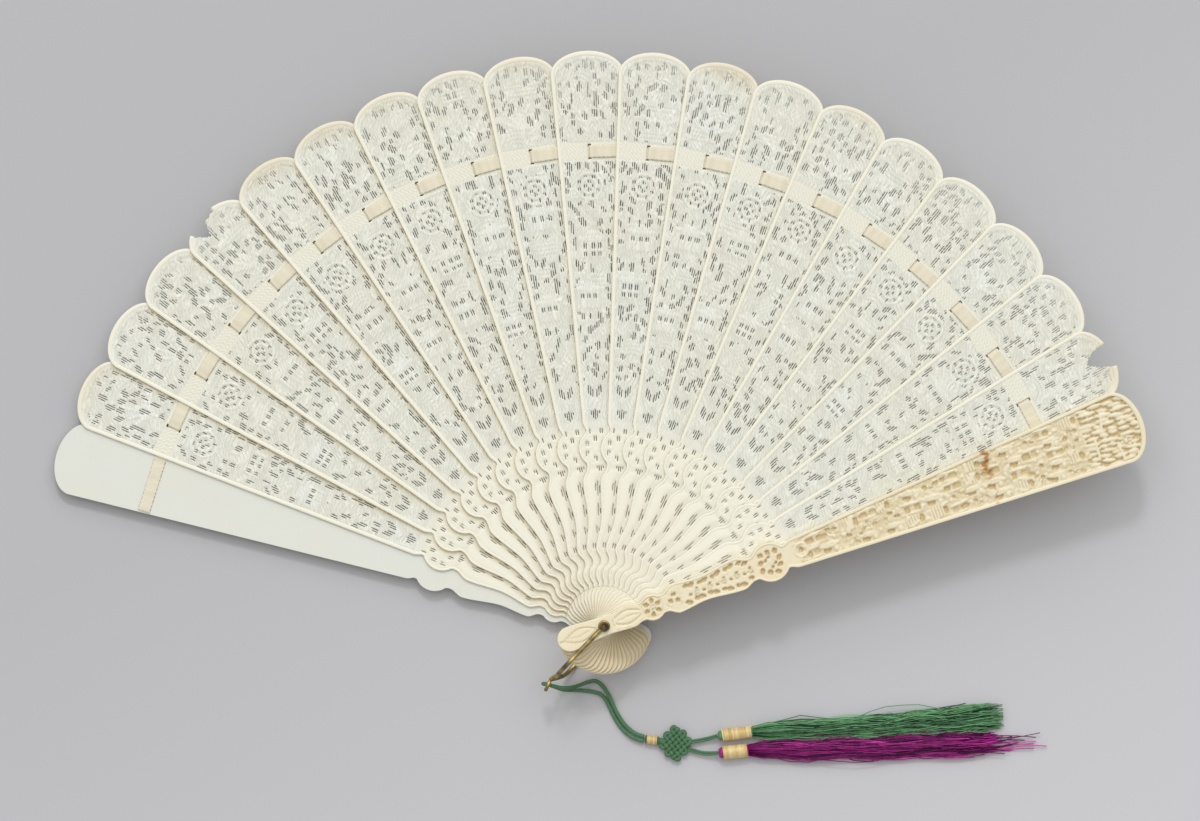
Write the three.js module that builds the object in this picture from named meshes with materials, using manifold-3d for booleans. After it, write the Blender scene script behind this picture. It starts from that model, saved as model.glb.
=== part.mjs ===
// A brise fan lying open on a table: two guards and a row of sticks on one rivet, threaded on a ribbon,
// with a bail, a doubled cord, a woven knot and two tassels. Millimetres, +Z up from the table.
// The origin is on the rivet's axis at its foot, and the fan opens towards +Y.
import * as THREE from "three";
import { mergeVertices } from "three/addons/utils/BufferGeometryUtils.js";
import Module from "manifold-3d";

const wasm = await Module();
wasm.setup();

// The fan's spread, and its blades' thickness
const stickCount = 19;
const openAngle = 141.5; // degrees between the two guards
const frontAngle = 21; // degrees from +X to the front guard
const overlap = 1.63; // neighbouring blades, when the fan is open
const guardThick = 2.6;
const headThick = 0.85; // a stick at its head
const bladeThick = 0.45; // a stick past its gorge
const taperFrom = 21; // a blade thins between these distances from the rivet
const taperTo = 31;
const stackGap = 0.1; // between neighbours on the rivet

// The outline that every blade shares, as distances from the rivet and half widths
const headLength = 15.7;
const headHalf = 4;
const waistHalf = 3.1; // at the rivet
const neckAt = 9.5;
const neckHalf = 3.8;
const lowerNotchHalf = 3; // at both ends of the lower rosette
const lowerRosetteAt = 16.6;
const lowerRosetteRadius = 4.2;
const lowerSwellAt = 24.5;
const lowerSwellHalf = 4.8;
const gorgeAt = 33.5;
const gorgeHalf = 4;
const upperSwellAt = 46.3;
const upperSwellHalf = 5.3;
const upperNotchHalf = 3.8; // at both ends of the upper rosette
const upperRosetteAt = 57;
const upperRosetteRadius = 6.3;
const shoulderPast = 0.4; // from the upper rosette to the blade's straight sides
const bladeLength = 184.3;
const tipRound = 7.5; // length of the rounded tip

// Openings in each stick's blade, in rows across it
const openingFirst = 8.5; // from the shoulder to the middle of the first row
const openingPitch = 16;
const openingLength = 9;
const openingEdge = 2.2; // ivory left at the blade's edges
const openingLand = 1.6; // ivory left between two openings
const pairedFrom = 6.5; // half width of the blade past which a row has two

// Breaks in the tips of two sticks, as [to the left of the centre line, below the tip]
const chips = {
  4: [[8, 3.1], [3.6, 6.9], [1.4, 2.1], [-2.4, 1.6], [-2.4, -1]],
  19: [[4.3, 2.4], [3.7, 5.2], [0.9, 9.1], [-1.3, 6], [-3.4, 1.4]],
};

// Ribbon, in a slot on each stick's centre line
const ribbonBelowTip = 32.3; // its middle, from the stick's tip
const ribbonWidth = 4;
const ribbonThick = 0.12;
const ribbonGap = 0.08; // ribbon to blade
const ribbonLap = 0.8; // how far a length runs under the next stick's edge
const ribbonInset = 0.4; // from its glued end to the guard's edge
const slotWidth = 0.8;
const slotRoom = 0.3; // slot past the ribbon at each edge

// Rivet and bail
const rivetRadius = 1;
const boreClearance = 0.05;
const roundSides = 16;
const footRadius = 2;
const footThick = 0.6;
const rivetHeadRadius = 1.5;
const rivetHeadHeight = 0.95;
const bailWire = 1.1; // diameter of its arms, and thickness of its rings
const bailRingRadius = 1.9;
const bailReach = 26.1; // rivet to the middle of the eye
const bailArm = 17.8; // straight length of each arm
const bailFrontAngle = 226; // degrees from +X
const bailRearAngle = 234;
const eyeAngle = 226.7;
const eyeFacing = 335; // the way the cord leaves the eye
const eyeRadius = 1.9;
const eyeWire = 0.9;

// Cord, knot and tassels
const cordDiameter = 1.3;
const loopDiameter = 1;
const softGap = 0.3;
const threadDiameter = 0.4; // gold thread
const threadPitch = 0.84;
const threadSteps = 14; // a turn
const threadSides = 5;
const neckStart = [13.2, -36.75];
const neckEnd = [17.6, -37.24];
const neckRadius = 1.5;
const neckCollar = 0.5;
const knotCentre = [23, -38.1];
const knotWidth = 10.1;
const knotHeight = 11.5;
const knotThick = 3;
const knotLobes = 16;
const knotScallop = 0.05; // depth of the lobes, as a share of the radius
const tableClear = 0.1; // soft pieces lie this far above the table
const knobLength = 1.3;
const tassels = {
  green: {
    start: [37.8, -35.5], // the gold winding's ends
    end: [47.7, -34.3],
    windingRadius: 2.05,
    skirt: [[43.2, -2.2], [87.5, -3]], // the skirt's middle and end: along and across the winding's axis
    skirtHalves: [2, 3.3, 4],
    skirtHeights: [3.9, 3.4, 2.6],
    loop: [[28.6, -37.5, 1.6], [31, -37.1, 1.4], [33.4, -36.6, 1.6], [36.1, -35.8, 2.15]],
  },
  purple: {
    start: [38.1, -41.1],
    end: [46.3, -40.3],
    windingRadius: 2.25,
    skirt: [[42.8, -2.97], [89.8, -5.6]],
    skirtHalves: [2.1, 3.3, 4],
    skirtHeights: [4.2, 3.6, 2.6],
    loop: [[27.4, -40, 1.6], [29.8, -40.8, 1.4], [32.4, -41.3, 1.6], [36.3, -41.28, 2.35]],
  },
};

// The cord's two strands, from the bail's eye down to the table and along it to the gold binding.
// Heights above "eye" points are measured down from the eye's middle, the rest up from the table.
const upperEye = [[-18.7, -18.8, 0], [-17.9, -19, 0], [-16, -19.5, -0.3], [-13.7, -20, -2]];
const upperTable = [
  [-11.6, -20.1, 8.4], [-9.8, -19.9, 5], [-7.9, -19.5, 2.4], [-5.1, -18.5, 1.1], [-1.9, -18.2, 0.8],
  [1.3, -19.6, 0.8], [3.6, -22.6, 0.8], [5.3, -26.2, 0.8], [7.1, -30.1, 0.8], [9.3, -33.6, 0.9],
  [11.6, -35.55, 1.35], [12.9, -35.87, 1.6],
];
const lowerEye = [[-18.7, -18.8, -3.35], [-17.9, -19, -3.4], [-16, -19.7, -3.8], [-13.9, -20.7, -5.6]];
const lowerTable = [
  [-12.1, -21.3, 5.2], [-10.1, -21.5, 2.5], [-7.4, -21.6, 1.1], [-3.5, -21.9, 0.8], [-0.3, -22.7, 0.8],
  [2, -24.3, 0.8], [3.5, -26.9, 0.8], [5.4, -30.9, 0.8], [7.7, -34.6, 0.9], [10.6, -36.95, 1.35],
  [12.7, -37.5, 1.6],
];

// Places that follow from these sizes
const radians = THREE.MathUtils.degToRad;
const step = openAngle / (stickCount + 1);
const relief = (headThick - bladeThick) / 2;
const stickPitch = headThick + stackGap;
const boreRadius = rivetRadius + boreClearance;
const rearGuardZ = footThick + bailWire + 2 * stackGap;
const firstStickZ = rearGuardZ + guardThick + stackGap;
const frontGuardZ = firstStickZ + stickCount * stickPitch;
const frontRingZ = frontGuardZ + guardThick + stackGap;
const rivetHeadZ = frontRingZ + bailWire + stackGap;
const rearArmZ = footThick + stackGap + bailWire / 2;
const frontArmZ = frontRingZ + bailWire / 2;
const eyeZ = (rearArmZ + frontArmZ) / 2;
const ribbonAt = bladeLength - ribbonBelowTip;
const tipFrom = bladeLength - tipRound;
const headAt = headHalf - headLength;
const shoulderAt = upperRosetteAt + upperRosetteRadius + shoulderPast;
const ribbonReach = 2 * ribbonAt * Math.tan(radians(step / 2)) - halfWidth(ribbonAt) + ribbonLap;

const standard = (color, roughness, metalness = 0) =>
  new THREE.MeshStandardMaterial({ color, roughness, metalness });
const ivory = standard(0xe9e6d8, 0.45);
const agedIvory = standard(0xe8dfbf, 0.45);
const ribbonSilk = standard(0xe9dccb, 0.6);
const brass = standard(0x9a8348, 0.35, 1);
const darkBronze = standard(0x4a4334, 0.45, 1);
const greenSilk = standard(0x3c7a55, 0.7);
const purpleSilk = standard(0x7d1f78, 0.6);
const goldThread = standard(0xd2a94e, 0.4, 0.6);

const fan = new THREE.Group();

function addPiece(name, geometry, material, parent = fan) {
  const piece = new THREE.Mesh(geometry, material);
  piece.name = name;
  parent.add(piece);
  return piece;
}

// A geometry as a solid that can be joined and cut, and back again
function solid(geometry) {
  const bare = geometry.clone();
  bare.deleteAttribute("normal");
  bare.deleteAttribute("uv");
  const merged = mergeVertices(bare, 1e-4);
  const vertProperties = merged.attributes.position.array;
  const triVerts = new Uint32Array(merged.index.array);
  return new wasm.Manifold(new wasm.Mesh({ numProp: 3, vertProperties, triVerts }));
}

function geometryOf(made) {
  const { vertProperties, triVerts } = made.getMesh();
  const geometry = new THREE.BufferGeometry();
  geometry.setAttribute("position", new THREE.BufferAttribute(vertProperties, 3));
  geometry.setIndex(new THREE.BufferAttribute(triVerts, 1));
  geometry.computeVertexNormals();
  return geometry;
}

// A flat outline given a thickness along +Z, from z = from
function plate(points, from, depth) {
  const shape = new THREE.Shape(points.map(([x, y]) => new THREE.Vector2(x, y)));
  return new THREE.ExtrudeGeometry(shape, { depth, bevelEnabled: false }).translate(0, 0, from);
}

// A profile in (x, z) carried across y, half its depth on each side
function channel(points, depth) {
  return plate(points, -depth / 2, depth).rotateX(Math.PI / 2);
}

// A profile in (y, z) carried along x, half its depth on each side of x = middle
function strip(points, middle, depth) {
  const turn = new THREE.Matrix4().set(0, 0, 1, 0, 1, 0, 0, 0, 0, 1, 0, 0, 0, 0, 0, 1);
  return plate(points, middle - depth / 2, depth).applyMatrix4(turn);
}

// A round bar about +Z
function bar(radius, from, depth) {
  return new THREE.CylinderGeometry(radius, radius, depth, roundSides)
    .rotateX(Math.PI / 2)
    .translate(0, 0, from + depth / 2);
}

// The bore's wall lies outside its circle, so that the rivet clears the flats
const boreCutter = solid(bar(boreRadius / Math.cos(Math.PI / roundSides), -1, rivetHeadZ + 2));

// A profile of [radius, along] turned about +X
function turned(points) {
  const profile = points.map(([radius, along]) => new THREE.Vector2(radius, along));
  return new THREE.LatheGeometry(profile, roundSides).rotateZ(-Math.PI / 2);
}

// A skin over rings of points, each counterclockwise seen from the ring after it, with flat ends
function loft(rings) {
  const sides = rings[0].length;
  const positions = rings.flat().flatMap((p) => [p.x, p.y, p.z]);
  const faces = [];
  for (let i = 0; i + 1 < rings.length; i++) {
    for (let j = 0; j < sides; j++) {
      const a = i * sides + j;
      const b = i * sides + ((j + 1) % sides);
      faces.push(a, b, b + sides, a, b + sides, a + sides);
    }
  }
  const last = (rings.length - 1) * sides;
  for (let j = 1; j + 1 < sides; j++) faces.push(0, j + 1, j, last, last + j, last + j + 1);
  const geometry = new THREE.BufferGeometry();
  geometry.setAttribute("position", new THREE.Float32BufferAttribute(positions, 3));
  geometry.setIndex(faces);
  geometry.computeVertexNormals();
  return geometry;
}

// A round tube through hand-chosen points
function tube(points, diameter, steps, sides = 8) {
  const corner = (j) => {
    const angle = (2 * Math.PI * j) / sides;
    return new THREE.Vector2((diameter / 2) * Math.cos(angle), (diameter / 2) * Math.sin(angle));
  };
  const section = new THREE.Shape(Array.from({ length: sides }, (_, j) => corner(j)));
  const extrudePath = new THREE.CatmullRomCurve3(points.map((p) => new THREE.Vector3(...p)));
  return new THREE.ExtrudeGeometry(section, { steps, extrudePath, bevelEnabled: false });
}

// Half the width of a blade at a distance from the rivet: the widest of its head, gorge, rosettes and blade
function halfWidth(r) {
  const bulge = (at, radius) => Math.sqrt(Math.max(0, radius ** 2 - (r - at) ** 2));
  const straight = (at) => at * Math.tan(radians(openAngle / (stickCount + 1) / 2)) + overlap / 2;
  if (r > tipFrom) return straight(tipFrom) * Math.sqrt(Math.max(0, 1 - ((r - tipFrom) / tipRound) ** 2));
  if (r >= shoulderAt) return straight(r);
  if (r <= headAt) return bulge(headAt, headHalf);
  const swells = [
    [headAt, headHalf],
    [0, waistHalf],
    [neckAt, neckHalf],
    [lowerRosetteAt - lowerRosetteRadius, lowerNotchHalf],
    [lowerRosetteAt + lowerRosetteRadius, lowerNotchHalf],
    [lowerSwellAt, lowerSwellHalf],
    [gorgeAt, gorgeHalf],
    [upperSwellAt, upperSwellHalf],
    [upperRosetteAt - upperRosetteRadius, upperNotchHalf],
    [shoulderAt, upperNotchHalf],
  ];
  const next = swells.findIndex(([at]) => at >= r);
  const [from, low] = swells[next - 1];
  const [to, high] = swells[next];
  const swell = low + (high - low) * THREE.MathUtils.smoothstep(r, from, to);
  const rosettes = [bulge(lowerRosetteAt, lowerRosetteRadius), bulge(upperRosetteAt, upperRosetteRadius)];
  return Math.max(swell, ...rosettes);
}

// Distances from the rivet at which a blade's edge is drawn, closer together on its round stretches
function stations() {
  const even = (from, to, count) => Array.from({ length: count }, (_, i) => from + ((to - from) * i) / count);
  const round = (from, to, count) =>
    even(0, Math.PI, count).map((a) => from + ((to - from) * (1 - Math.cos(a))) / 2);
  const quarter = (from, to, count) =>
    even(0, Math.PI / 2, count).map((a) => from + (to - from) * Math.sin(a));
  return [
    ...quarter(headAt, -headLength, 4).reverse(),
    ...even(headAt, lowerRosetteAt - lowerRosetteRadius, 6).slice(1),
    ...round(lowerRosetteAt - lowerRosetteRadius, lowerRosetteAt + lowerRosetteRadius, 7),
    ...even(lowerRosetteAt + lowerRosetteRadius, upperRosetteAt - upperRosetteRadius, 10),
    ...round(upperRosetteAt - upperRosetteRadius, upperRosetteAt + upperRosetteRadius, 9),
    shoulderAt,
    ...quarter(tipFrom, bladeLength, 6),
  ].sort((a, b) => a - b);
}

// The blade's outline, lying along +X with the rivet at the origin
function bladeOutline() {
  const edge = stations().map((r) => [r, halfWidth(r)]);
  const right = edge.map(([r, half]) => [r, -half]);
  return [[-headLength, 0], ...right, [bladeLength, 0], ...edge.reverse()];
}

// Middles and widths of a stick's pierced openings: lozenges in rows, clear of the ribbon's slot
function openings() {
  const found = [];
  const slotClear = ribbonWidth / 2 + slotRoom + openingEdge + openingLength / 2;
  for (let r = shoulderAt + openingFirst; r + openingLength / 2 < tipFrom; r += openingPitch) {
    if (Math.abs(r - ribbonAt) < slotClear) continue;
    const room = halfWidth(r) - openingEdge;
    if (halfWidth(r) < pairedFrom) {
      found.push([r, 0, room]);
      continue;
    }
    const half = (room - openingLand / 2) / 2;
    found.push([r, room - half, half], [r, half - room, half]);
  }
  return found;
}

// A blade: its outline thinned past the gorge by the given reliefs, then bored, pierced, slotted and chipped
function blade(thick, lowRelief, highRelief, pierced, chip) {
  const past = 5;
  const behind = -headLength - past;
  const ahead = bladeLength + past;
  const top = thick - highRelief;
  const low = lowRelief ? [[taperFrom, 0], [taperTo, lowRelief]] : [];
  const high = highRelief ? [[taperTo, top], [taperFrom, thick]] : [];
  const side = [[behind, 0], ...low, [ahead, lowRelief], [ahead, top], ...high, [behind, thick]];
  let made = solid(plate(bladeOutline(), -past, thick + 2 * past));
  made = made.intersect(solid(channel(side, 4 * halfWidth(tipFrom))));
  made = made.subtract(boreCutter);
  if (pierced) {
    const reach = openingLength / 2;
    for (const [r, y, half] of openings()) {
      const lozenge = [[r - reach, y], [r, y - half], [r + reach, y], [r, y + half]];
      made = made.subtract(solid(plate(lozenge, -past, thick + 2 * past)));
    }
    const slot = new THREE.BoxGeometry(ribbonWidth + 2 * slotRoom, slotWidth, thick + 2 * past);
    made = made.subtract(solid(slot.translate(ribbonAt, 0, thick / 2)));
  }
  if (chip) {
    const bite = chip.map(([left, below]) => [bladeLength - below, left]);
    const outer = [[ahead, chip.at(-1)[0]], [ahead, chip[0][0]]];
    made = made.subtract(solid(plate([...bite, ...outer].reverse(), -past, thick + 2 * past)));
  }
  return geometryOf(made);
}

// The ribbon's length on one stick: behind the left half, through the slot and over the right half
function ribbonLength() {
  const under = relief - ribbonGap;
  const over = headThick - relief + ribbonGap;
  const slant = slotWidth / 4;
  const fold = ribbonThick / 2;
  return strip(
    [
      [ribbonReach, under - ribbonThick],
      [ribbonReach, under],
      [slant + fold, under],
      [-slant + fold, over + ribbonThick],
      [-ribbonReach, over + ribbonThick],
      [-ribbonReach, over],
      [-slant - fold, over],
      [slant - fold, under - ribbonThick],
    ].reverse(),
    ribbonAt,
    ribbonWidth,
  );
}

// The ribbon's end, glued across a guard's inner face at height z, from the left edge or to the right one
function ribbonEnd(z, left, right) {
  const corners = [[-right, z], [left, z], [left, z + ribbonThick], [-right, z + ribbonThick]];
  return strip(corners, ribbonAt, ribbonWidth);
}

// Guards, sticks and ribbon, each turned about the rivet and stacked up from the rear guard
function makeBlades() {
  const glued = halfWidth(ribbonAt) - ribbonInset;
  const turn = (k) => {
    const group = new THREE.Group();
    group.rotation.z = radians(frontAngle + openAngle - k * step);
    fan.add(group);
    return group;
  };
  const rear = turn(0);
  rear.position.z = rearGuardZ;
  addPiece("rear_guard", blade(guardThick, 0, relief, false), ivory, rear);
  addPiece("ribbon_rear", ribbonEnd(guardThick - relief + ribbonGap, glued, ribbonReach), ribbonSilk, rear);
  for (let k = 1; k <= stickCount; k++) {
    const number = String(k).padStart(2, "0");
    const group = turn(k);
    group.position.z = firstStickZ + (k - 1) * stickPitch;
    addPiece("stick_" + number, blade(headThick, relief, relief, true, chips[k]), ivory, group);
    addPiece("ribbon_" + number, ribbonLength(), ribbonSilk, group);
  }
  const front = turn(stickCount + 1);
  front.position.z = frontGuardZ;
  addPiece("front_guard", blade(guardThick, relief, 0, false), agedIvory, front);
  const under = relief - ribbonGap - ribbonThick;
  addPiece("ribbon_front", ribbonEnd(under, ribbonReach, glued), ribbonSilk, front);
}

// Rivet: a flat foot, a shank through the whole stack and a domed head
function makeRivet() {
  const dome = [75, 50, 25].map((angle) => [
    rivetHeadRadius * Math.sin(radians(angle)),
    rivetHeadZ + rivetHeadHeight * Math.cos(radians(angle)),
  ]);
  const profile = [
    [0, 0],
    [footRadius, 0],
    [footRadius, footThick],
    [rivetRadius, footThick],
    [rivetRadius, rivetHeadZ],
    [rivetHeadRadius, rivetHeadZ],
    ...dome,
    [0, rivetHeadZ + rivetHeadHeight],
  ];
  addPiece("rivet", turned(profile).rotateY(-Math.PI / 2), darkBronze);
}

// Bail: a ring above and below the stack, two arms that bend together outside the heads, and an eye
function makeBail() {
  const polar = (r, angle, z) => [r * Math.cos(radians(angle)), r * Math.sin(radians(angle)), z];
  const eyeCentre = polar(bailReach, eyeAngle, eyeZ);
  const inner = polar(eyeRadius, eyeFacing + 90, 0);
  const meet = [eyeCentre[0] + inner[0], eyeCentre[1] + inner[1], eyeZ];
  const arm = (angle, z) => {
    const bend = (bailReach - eyeRadius - bailArm) / 3;
    const drop = eyeZ - z;
    const between = (share) => angle + (eyeAngle - angle) * share;
    const straight = [0, 1 / 3, 2 / 3, 1].map((share) => polar((bailArm - bend / 2) * share, angle, z));
    return [
      ...straight,
      polar(bailArm + bend, between(0.25), z + drop * 0.18),
      polar(bailArm + 2 * bend, between(0.65), z + drop * 0.55),
      meet,
    ];
  };
  const ring = (z) => solid(bar(bailRingRadius, z - bailWire / 2, bailWire));
  const eye = new THREE.TorusGeometry(eyeRadius, eyeWire / 2, 6, 16)
    .rotateX(Math.PI / 2)
    .rotateZ(radians(eyeFacing + 90))
    .translate(...eyeCentre);
  let made = solid(eye);
  for (const [angle, z] of [[bailFrontAngle, frontArmZ], [bailRearAngle, rearArmZ]]) {
    made = made.add(ring(z)).add(solid(tube(arm(angle, z), bailWire, 14)));
  }
  addPiece("bail", geometryOf(made.subtract(boreCutter)), brass);
}

// Gold thread wound round +X from x = from to x = to, with a straight end along the axis at each side
function winding(name, outerRadius, from, to) {
  const wire = threadDiameter / 2;
  const radius = outerRadius - wire;
  const room = to - from - 2 * (softGap + threadDiameter);
  const turns = Math.floor(room / threadPitch);
  const start = (from + to - turns * threadPitch) / 2;
  const points = [];
  for (let i = 0; i <= turns * threadSteps; i++) {
    const angle = (2 * Math.PI * i) / threadSteps;
    const along = start + (threadPitch * i) / threadSteps;
    points.push(new THREE.Vector3(along, radius * Math.cos(angle), radius * Math.sin(angle)));
  }
  const gaps = points.flatMap((p, i) => points.slice(i + threadSteps / 2).map((q) => p.distanceTo(q)));
  const least = Math.min(...gaps) - threadDiameter;
  console.log(name + ": " + turns + " turns, least gap " + least.toFixed(2) + " mm");
  const first = points[0].clone();
  const last = points.at(-1).clone();
  first.x -= threadDiameter;
  last.x += threadDiameter;
  const path = [first, ...points, last];
  const rings = path.map((p, i) => {
    const ahead = path[Math.min(i + 1, path.length - 1)];
    const behind = path[Math.max(i - 1, 0)];
    const tangent = ahead.clone().sub(behind).normalize();
    const out = new THREE.Vector3(0, p.y, p.z).projectOnPlane(tangent).normalize();
    const side = tangent.clone().cross(out);
    return Array.from({ length: threadSides }, (_, j) => {
      const angle = (2 * Math.PI * j) / threadSides;
      const corner = p.clone().addScaledVector(out, wire * Math.cos(angle));
      return corner.addScaledVector(side, wire * Math.sin(angle));
    });
  });
  return loft(rings);
}

// A group whose +X runs from one point of the plan to another, at height z
function along([x, y], [toX, toY], z) {
  const group = new THREE.Group();
  group.position.set(x, y, z);
  group.rotation.z = Math.atan2(toY - y, toX - x);
  fan.add(group);
  return group;
}

// The cord's two strands, the stretch where gold thread binds them, and the flat woven knot
function makeCordAndKnot() {
  const lift = (points) => points.map(([x, y, z]) => [x, y, eyeZ + z]);
  addPiece("cord_upper", tube([...lift(upperEye), ...upperTable], cordDiameter, 22), greenSilk);
  addPiece("cord_lower", tube([...lift(lowerEye), ...lowerTable], cordDiameter, 20), greenSilk);
  const neckLength = Math.hypot(neckEnd[0] - neckStart[0], neckEnd[1] - neckStart[1]);
  const core = neckRadius - threadDiameter - softGap;
  const inner = neckLength - neckCollar;
  const neck = along(neckStart, neckEnd, neckRadius + tableClear);
  const profile = [
    [0, 0],
    [neckRadius, 0],
    [neckRadius, neckCollar],
    [core, neckCollar],
    [core, inner],
    [neckRadius, inner],
    [neckRadius, neckLength],
    [0, neckLength],
  ];
  addPiece("cord_neck", turned(profile), greenSilk, neck);
  addPiece("cord_winding", winding("cord_winding", neckRadius, neckCollar, inner), goldThread, neck);

  const outline = Array.from({ length: 3 * knotLobes }, (_, i) => {
    const angle = (2 * Math.PI * i) / (3 * knotLobes);
    const across = Math.abs(Math.cos(angle)) / (knotWidth / 2) + Math.abs(Math.sin(angle)) / (knotHeight / 2);
    const radius = (1 - knotScallop + knotScallop * Math.cos(knotLobes * angle)) / across;
    return [knotCentre[0] + radius * Math.cos(angle), knotCentre[1] + radius * Math.sin(angle)];
  });
  addPiece("knot", plate(outline, tableClear, knotThick), greenSilk);
}

// A tassel along +X: a knob and core, the gold winding round the core, and the silk skirt past it
function makeTassel(name, silk) {
  const { start, end, windingRadius, skirt, skirtHalves, skirtHeights, loop } = tassels[name];
  const axisZ = windingRadius + tableClear;
  const group = along(start, end, axisZ);
  const length = Math.hypot(end[0] - start[0], end[1] - start[1]);
  const core = windingRadius - threadDiameter - softGap;
  const knob = [
    [0, -knobLength],
    [core * 0.6, -knobLength],
    [core, -knobLength / 2],
    [core, length],
    [0, length],
  ];
  addPiece(name + "_head", turned(knob), silk, group);
  addPiece(name + "_winding", winding(name + "_winding", windingRadius, 0, length), goldThread, group);

  const sides = 10;
  const pieces = 8;
  const middle = [[length + softGap, 0], ...skirt].map(([x, y]) => new THREE.Vector3(x, y, 0));
  const path = new THREE.CatmullRomCurve3(middle);
  const blend = ([a, b, c], t) => (t < 0.5 ? a + (b - a) * 2 * t : b + (c - b) * (2 * t - 1));
  const rings = Array.from({ length: pieces + 1 }, (_, i) => {
    const t = i / pieces;
    const at = path.getPoint(t);
    const tangent = path.getTangent(t);
    const half = blend(skirtHalves, t);
    const height = blend(skirtHeights, t);
    return Array.from({ length: sides }, (_, j) => {
      const angle = (2 * Math.PI * j) / sides;
      const across = half * Math.cos(angle);
      const up = height / 2 + (height / 2) * Math.sin(angle);
      const z = up + tableClear - axisZ;
      return new THREE.Vector3(at.x - tangent.y * across, at.y + tangent.x * across, z);
    });
  });
  addPiece(name + "_skirt", loft(rings), silk, group);
  addPiece("loop_" + name, tube(loop, loopDiameter, 6), greenSilk);
}

makeBlades();
makeRivet();
makeBail();
makeCordAndKnot();
makeTassel("green", greenSilk);
makeTassel("purple", purpleSilk);

export default fan;
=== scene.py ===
import math

import bpy
import numpy as np
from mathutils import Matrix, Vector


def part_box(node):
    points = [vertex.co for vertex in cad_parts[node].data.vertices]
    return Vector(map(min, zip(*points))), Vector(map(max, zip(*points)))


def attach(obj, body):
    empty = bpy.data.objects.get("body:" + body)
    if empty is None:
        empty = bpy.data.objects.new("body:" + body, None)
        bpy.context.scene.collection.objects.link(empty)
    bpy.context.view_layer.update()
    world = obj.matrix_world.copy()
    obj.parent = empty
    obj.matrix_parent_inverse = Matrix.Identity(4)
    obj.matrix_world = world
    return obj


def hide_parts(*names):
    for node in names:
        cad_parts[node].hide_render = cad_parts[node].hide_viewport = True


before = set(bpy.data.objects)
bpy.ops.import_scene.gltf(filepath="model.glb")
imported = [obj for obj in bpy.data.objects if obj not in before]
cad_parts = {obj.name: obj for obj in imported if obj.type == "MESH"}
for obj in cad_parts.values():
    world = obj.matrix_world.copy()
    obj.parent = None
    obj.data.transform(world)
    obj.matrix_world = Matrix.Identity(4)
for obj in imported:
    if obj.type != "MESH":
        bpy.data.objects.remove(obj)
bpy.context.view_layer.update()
print("stage: frame loaded")

# lengths in mm and angles in degrees, as in the part's source
spread = {"sticks": 19, "open": 141.5, "front": 21.0, "overlap": 1.63}
blade = {
    "length": 184.3, "tipRound": 7.5, "shoulder": 63.7, "headLength": 15.7, "headHalf": 4.0, "bore": 1.05,
    "swells": (
        (-11.7, 4.0), (0, 3.1), (9.5, 3.8), (12.4, 3.0), (20.8, 3.0),
        (24.5, 4.8), (33.5, 4.0), (46.3, 5.3), (50.7, 3.8), (63.7, 3.8),
    ),  # half widths along the gorge
    "rosettes": ((16.6, 4.2), (57.0, 6.3)),  # place and radius
    "taper": (21.0, 31.0),  # the blade thins between these
}
stepAngle = spread["open"] / (spread["sticks"] + 1)
rearAngle = spread["front"] + spread["open"]
tipFrom = blade["length"] - blade["tipRound"]
headAt = blade["headHalf"] - blade["headLength"]


def colour(red, green, blue):
    # sRGB out of 255 to linear light
    share = np.array((red, green, blue)) / 255
    light = np.where(share < 0.04045, share / 12.92, ((share + 0.055) / 1.055) ** 2.4)
    return (*(float(x) for x in light), 1.0)


def ramp(value, low, high):
    # 0 at low and 1 at high, clamped
    return np.clip((np.asarray(value) - low) / (high - low), 0, 1)


def smooth(share):
    # 3 t^2 - 2 t^3
    return share * share * (3 - 2 * share)


def turned(x, y, angle):
    # x and y turned about the origin
    c, s = math.cos(math.radians(angle)), math.sin(math.radians(angle))
    return c * x - s * y, s * x + c * y


def polar(x, y, radius, angle):
    # the point at a distance and an angle from (x, y)
    return x + radius * math.cos(math.radians(angle)), y + radius * math.sin(math.radians(angle))


def unit(vectors):
    # each vector over its length
    return vectors / np.maximum(np.linalg.norm(vectors, axis=-1, keepdims=True), 1e-9)


def runs(points):
    # the distance along a line to each of its points
    return np.concatenate(((0,), np.cumsum(np.linalg.norm(np.diff(points, axis=0), axis=1))))


def runLength(points):
    # the sum of a line's steps
    return float(np.linalg.norm(np.diff(points, axis=0), axis=1).sum())


def evenly(points, count):
    # the same line at even distances
    run = runs(points)
    return np.stack([np.interp(np.linspace(0, run[-1], count), run, axis) for axis in points.T], -1)


def spline(points, count):
    # centripetal Catmull-Rom through the points, at even distances
    p = np.asarray(points, float)
    p = np.vstack((2 * p[0] - p[1], p, 2 * p[-1] - p[-2]))
    t = np.concatenate(((0,), np.cumsum(np.linalg.norm(np.diff(p, axis=0), axis=1) ** 0.5)))
    u = np.linspace(t[1], t[-2], 12 * len(p))
    i = np.clip(np.searchsorted(t, u, "right") - 1, 1, len(p) - 3)
    share = lambda a, b: ((u - t[i + a]) / (t[i + b] - t[i + a]))[:, None]
    blend = lambda a, b, w: a * (1 - w) + b * w
    a1, a2, a3 = (blend(p[i + k], p[i + k + 1], share(k, k + 1)) for k in (-1, 0, 1))
    b1, b2 = blend(a1, a2, share(-1, 1)), blend(a2, a3, share(0, 2))
    return evenly(blend(b1, b2, share(0, 1)), count)


def added(name, data):
    # an object with these data, in the scene
    made = bpy.data.objects.new(name, data)
    bpy.context.collection.objects.link(made)
    return made


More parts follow.
